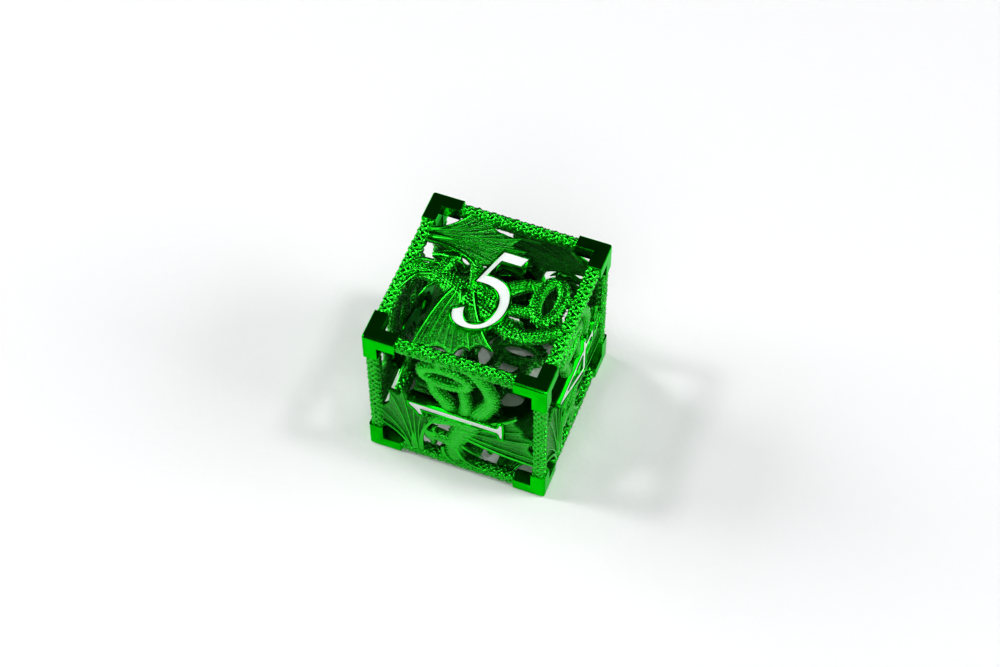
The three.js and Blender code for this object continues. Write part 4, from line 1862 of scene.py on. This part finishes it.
@dataclass(frozen=True)
class Softbox:
    """A square area light, placed round the die.

    Attributes:
        name: Its name.
        azimuth: Degrees round the die, zero in front of it.
        elevation: Degrees above the table.
        distance: Metres from the die.
        size: Edge in metres.
        power: Watts.
    """

    name: str
    azimuth: float
    elevation: float
    distance: float
    size: float
    power: float


@dataclass
class Studio:
    """The white tabletop, the soft lights and the camera.

    Attributes:
        centre: Middle of the die.
        azimuth: The camera's degrees round the die, zero in front of it.
        elevation: Its degrees above the table.
        roll: Its turn about its own axis in degrees.
        distance: Its distance in metres from what it looks at.
        aim: What it looks at, from the die's middle.
        lens: Its focal length in millimetres.
        room: Brightness of the room.
        softboxes: The lights.
    """

    centre: Vector
    azimuth: float = 21.07
    elevation: float = 55.15
    roll: float = -0.33
    distance: float = 0.24699
    aim: Vector = field(default_factory=lambda: Vector((0.73, 1.34, 0.68)) * MM)
    lens: float = 83.98
    room: float = 0.035
    softboxes: tuple[Softbox, ...] = (
        Softbox("right_lamp", 104, 64, 0.6, 0.075, 0.55),
        Softbox("left_lamp", -81, 57, 0.6, 0.075, 0.55),
        Softbox("right_panel", 100, 27, 0.8, 0.5, 3.3),
        Softbox("left_panel", -90, 27, 0.8, 0.5, 3.8),
        Softbox("front_panel", 12, 46, 0.8, 0.5, 1.9),
        Softbox("top_panel", 180, 82, 0.8, 0.3, 0.35),
    )

    def direction(self, azimuth: float, elevation: float) -> Vector:
        """Returns the direction from the die towards an azimuth and an elevation in degrees."""
        a, e = math.radians(azimuth), math.radians(elevation)
        return Vector((math.sin(a) * math.cos(e), -math.cos(a) * math.cos(e), math.sin(e)))

    def add_camera(self) -> None:
        """Adds the camera and makes it the scene's."""
        data = bpy.data.cameras.new("camera")
        data.lens = self.lens
        data.clip_start = 0.01
        camera = linked("camera", data)
        back = self.direction(self.azimuth, self.elevation)
        level = (-back).to_track_quat("-Z", "Y").to_matrix()
        turn = level @ Matrix.Rotation(math.radians(self.roll), 3, "Z")
        target = self.centre + self.aim
        camera.matrix_world = Matrix.Translation(target + back * self.distance) @ turn.to_4x4()
        bpy.context.scene.camera = camera

    def add_lights(self) -> None:
        """Adds the soft lights and a dim room."""
        for box in self.softboxes:
            data = bpy.data.lights.new(box.name, "AREA")
            data.shape = "SQUARE"
            data.size = box.size
            data.energy = box.power
            light = linked(box.name, data)
            back = self.direction(box.azimuth, box.elevation)
            light.location = self.centre + back * box.distance
            light.rotation_euler = back.to_track_quat("Z", "Y").to_euler()
        world = bpy.data.worlds.new("room")
        world.use_nodes = True
        colour = (self.room, self.room, self.room, 1)
        world.node_tree.nodes["Background"].inputs["Color"].default_value = colour
        bpy.context.scene.world = world

    def add_tabletop(self) -> None:
        """Adds the tabletop under the die."""
        bm = bmesh.new()
        bmesh.ops.create_grid(bm, x_segments=1, y_segments=1, size=1.5)
        floor = linked("tabletop", finished_mesh("tabletop", bm, Tabletop().material()))
        floor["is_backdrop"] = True

    def build(self) -> None:
        """Adds everything that isn't the die."""
        self.add_camera()
        self.add_lights()
        self.add_tabletop()
        bpy.context.scene.view_settings.view_transform = "Standard"
        bpy.context.scene.view_settings.look = "Medium High Contrast"


# ---- Assembly -----------------------------------------------------------------------------------


def main() -> None:
    """Loads the frame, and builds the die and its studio."""
    logging.basicConfig(level=logging.INFO, format="%(name)s: %(message)s")
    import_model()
    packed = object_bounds()
    measures = Measures.from_frame()
    LOG.info("measures: %s", measures)
    finishes = Finishes(measures)
    Studio(centre=(packed[0] + packed[1]) / 2).build()
    Cage(measures, finishes).build()
    dragon = Dragon(measures, finishes)
    dragon.draw()
    numeral = Numeral(measures, finishes)
    for side in SIDES:
        dragon.build(side, numeral.ground(side))
        numeral.build(side)
    bpy.data.objects.remove(dragon.scale)


if __name__ == "__main__":
    main()
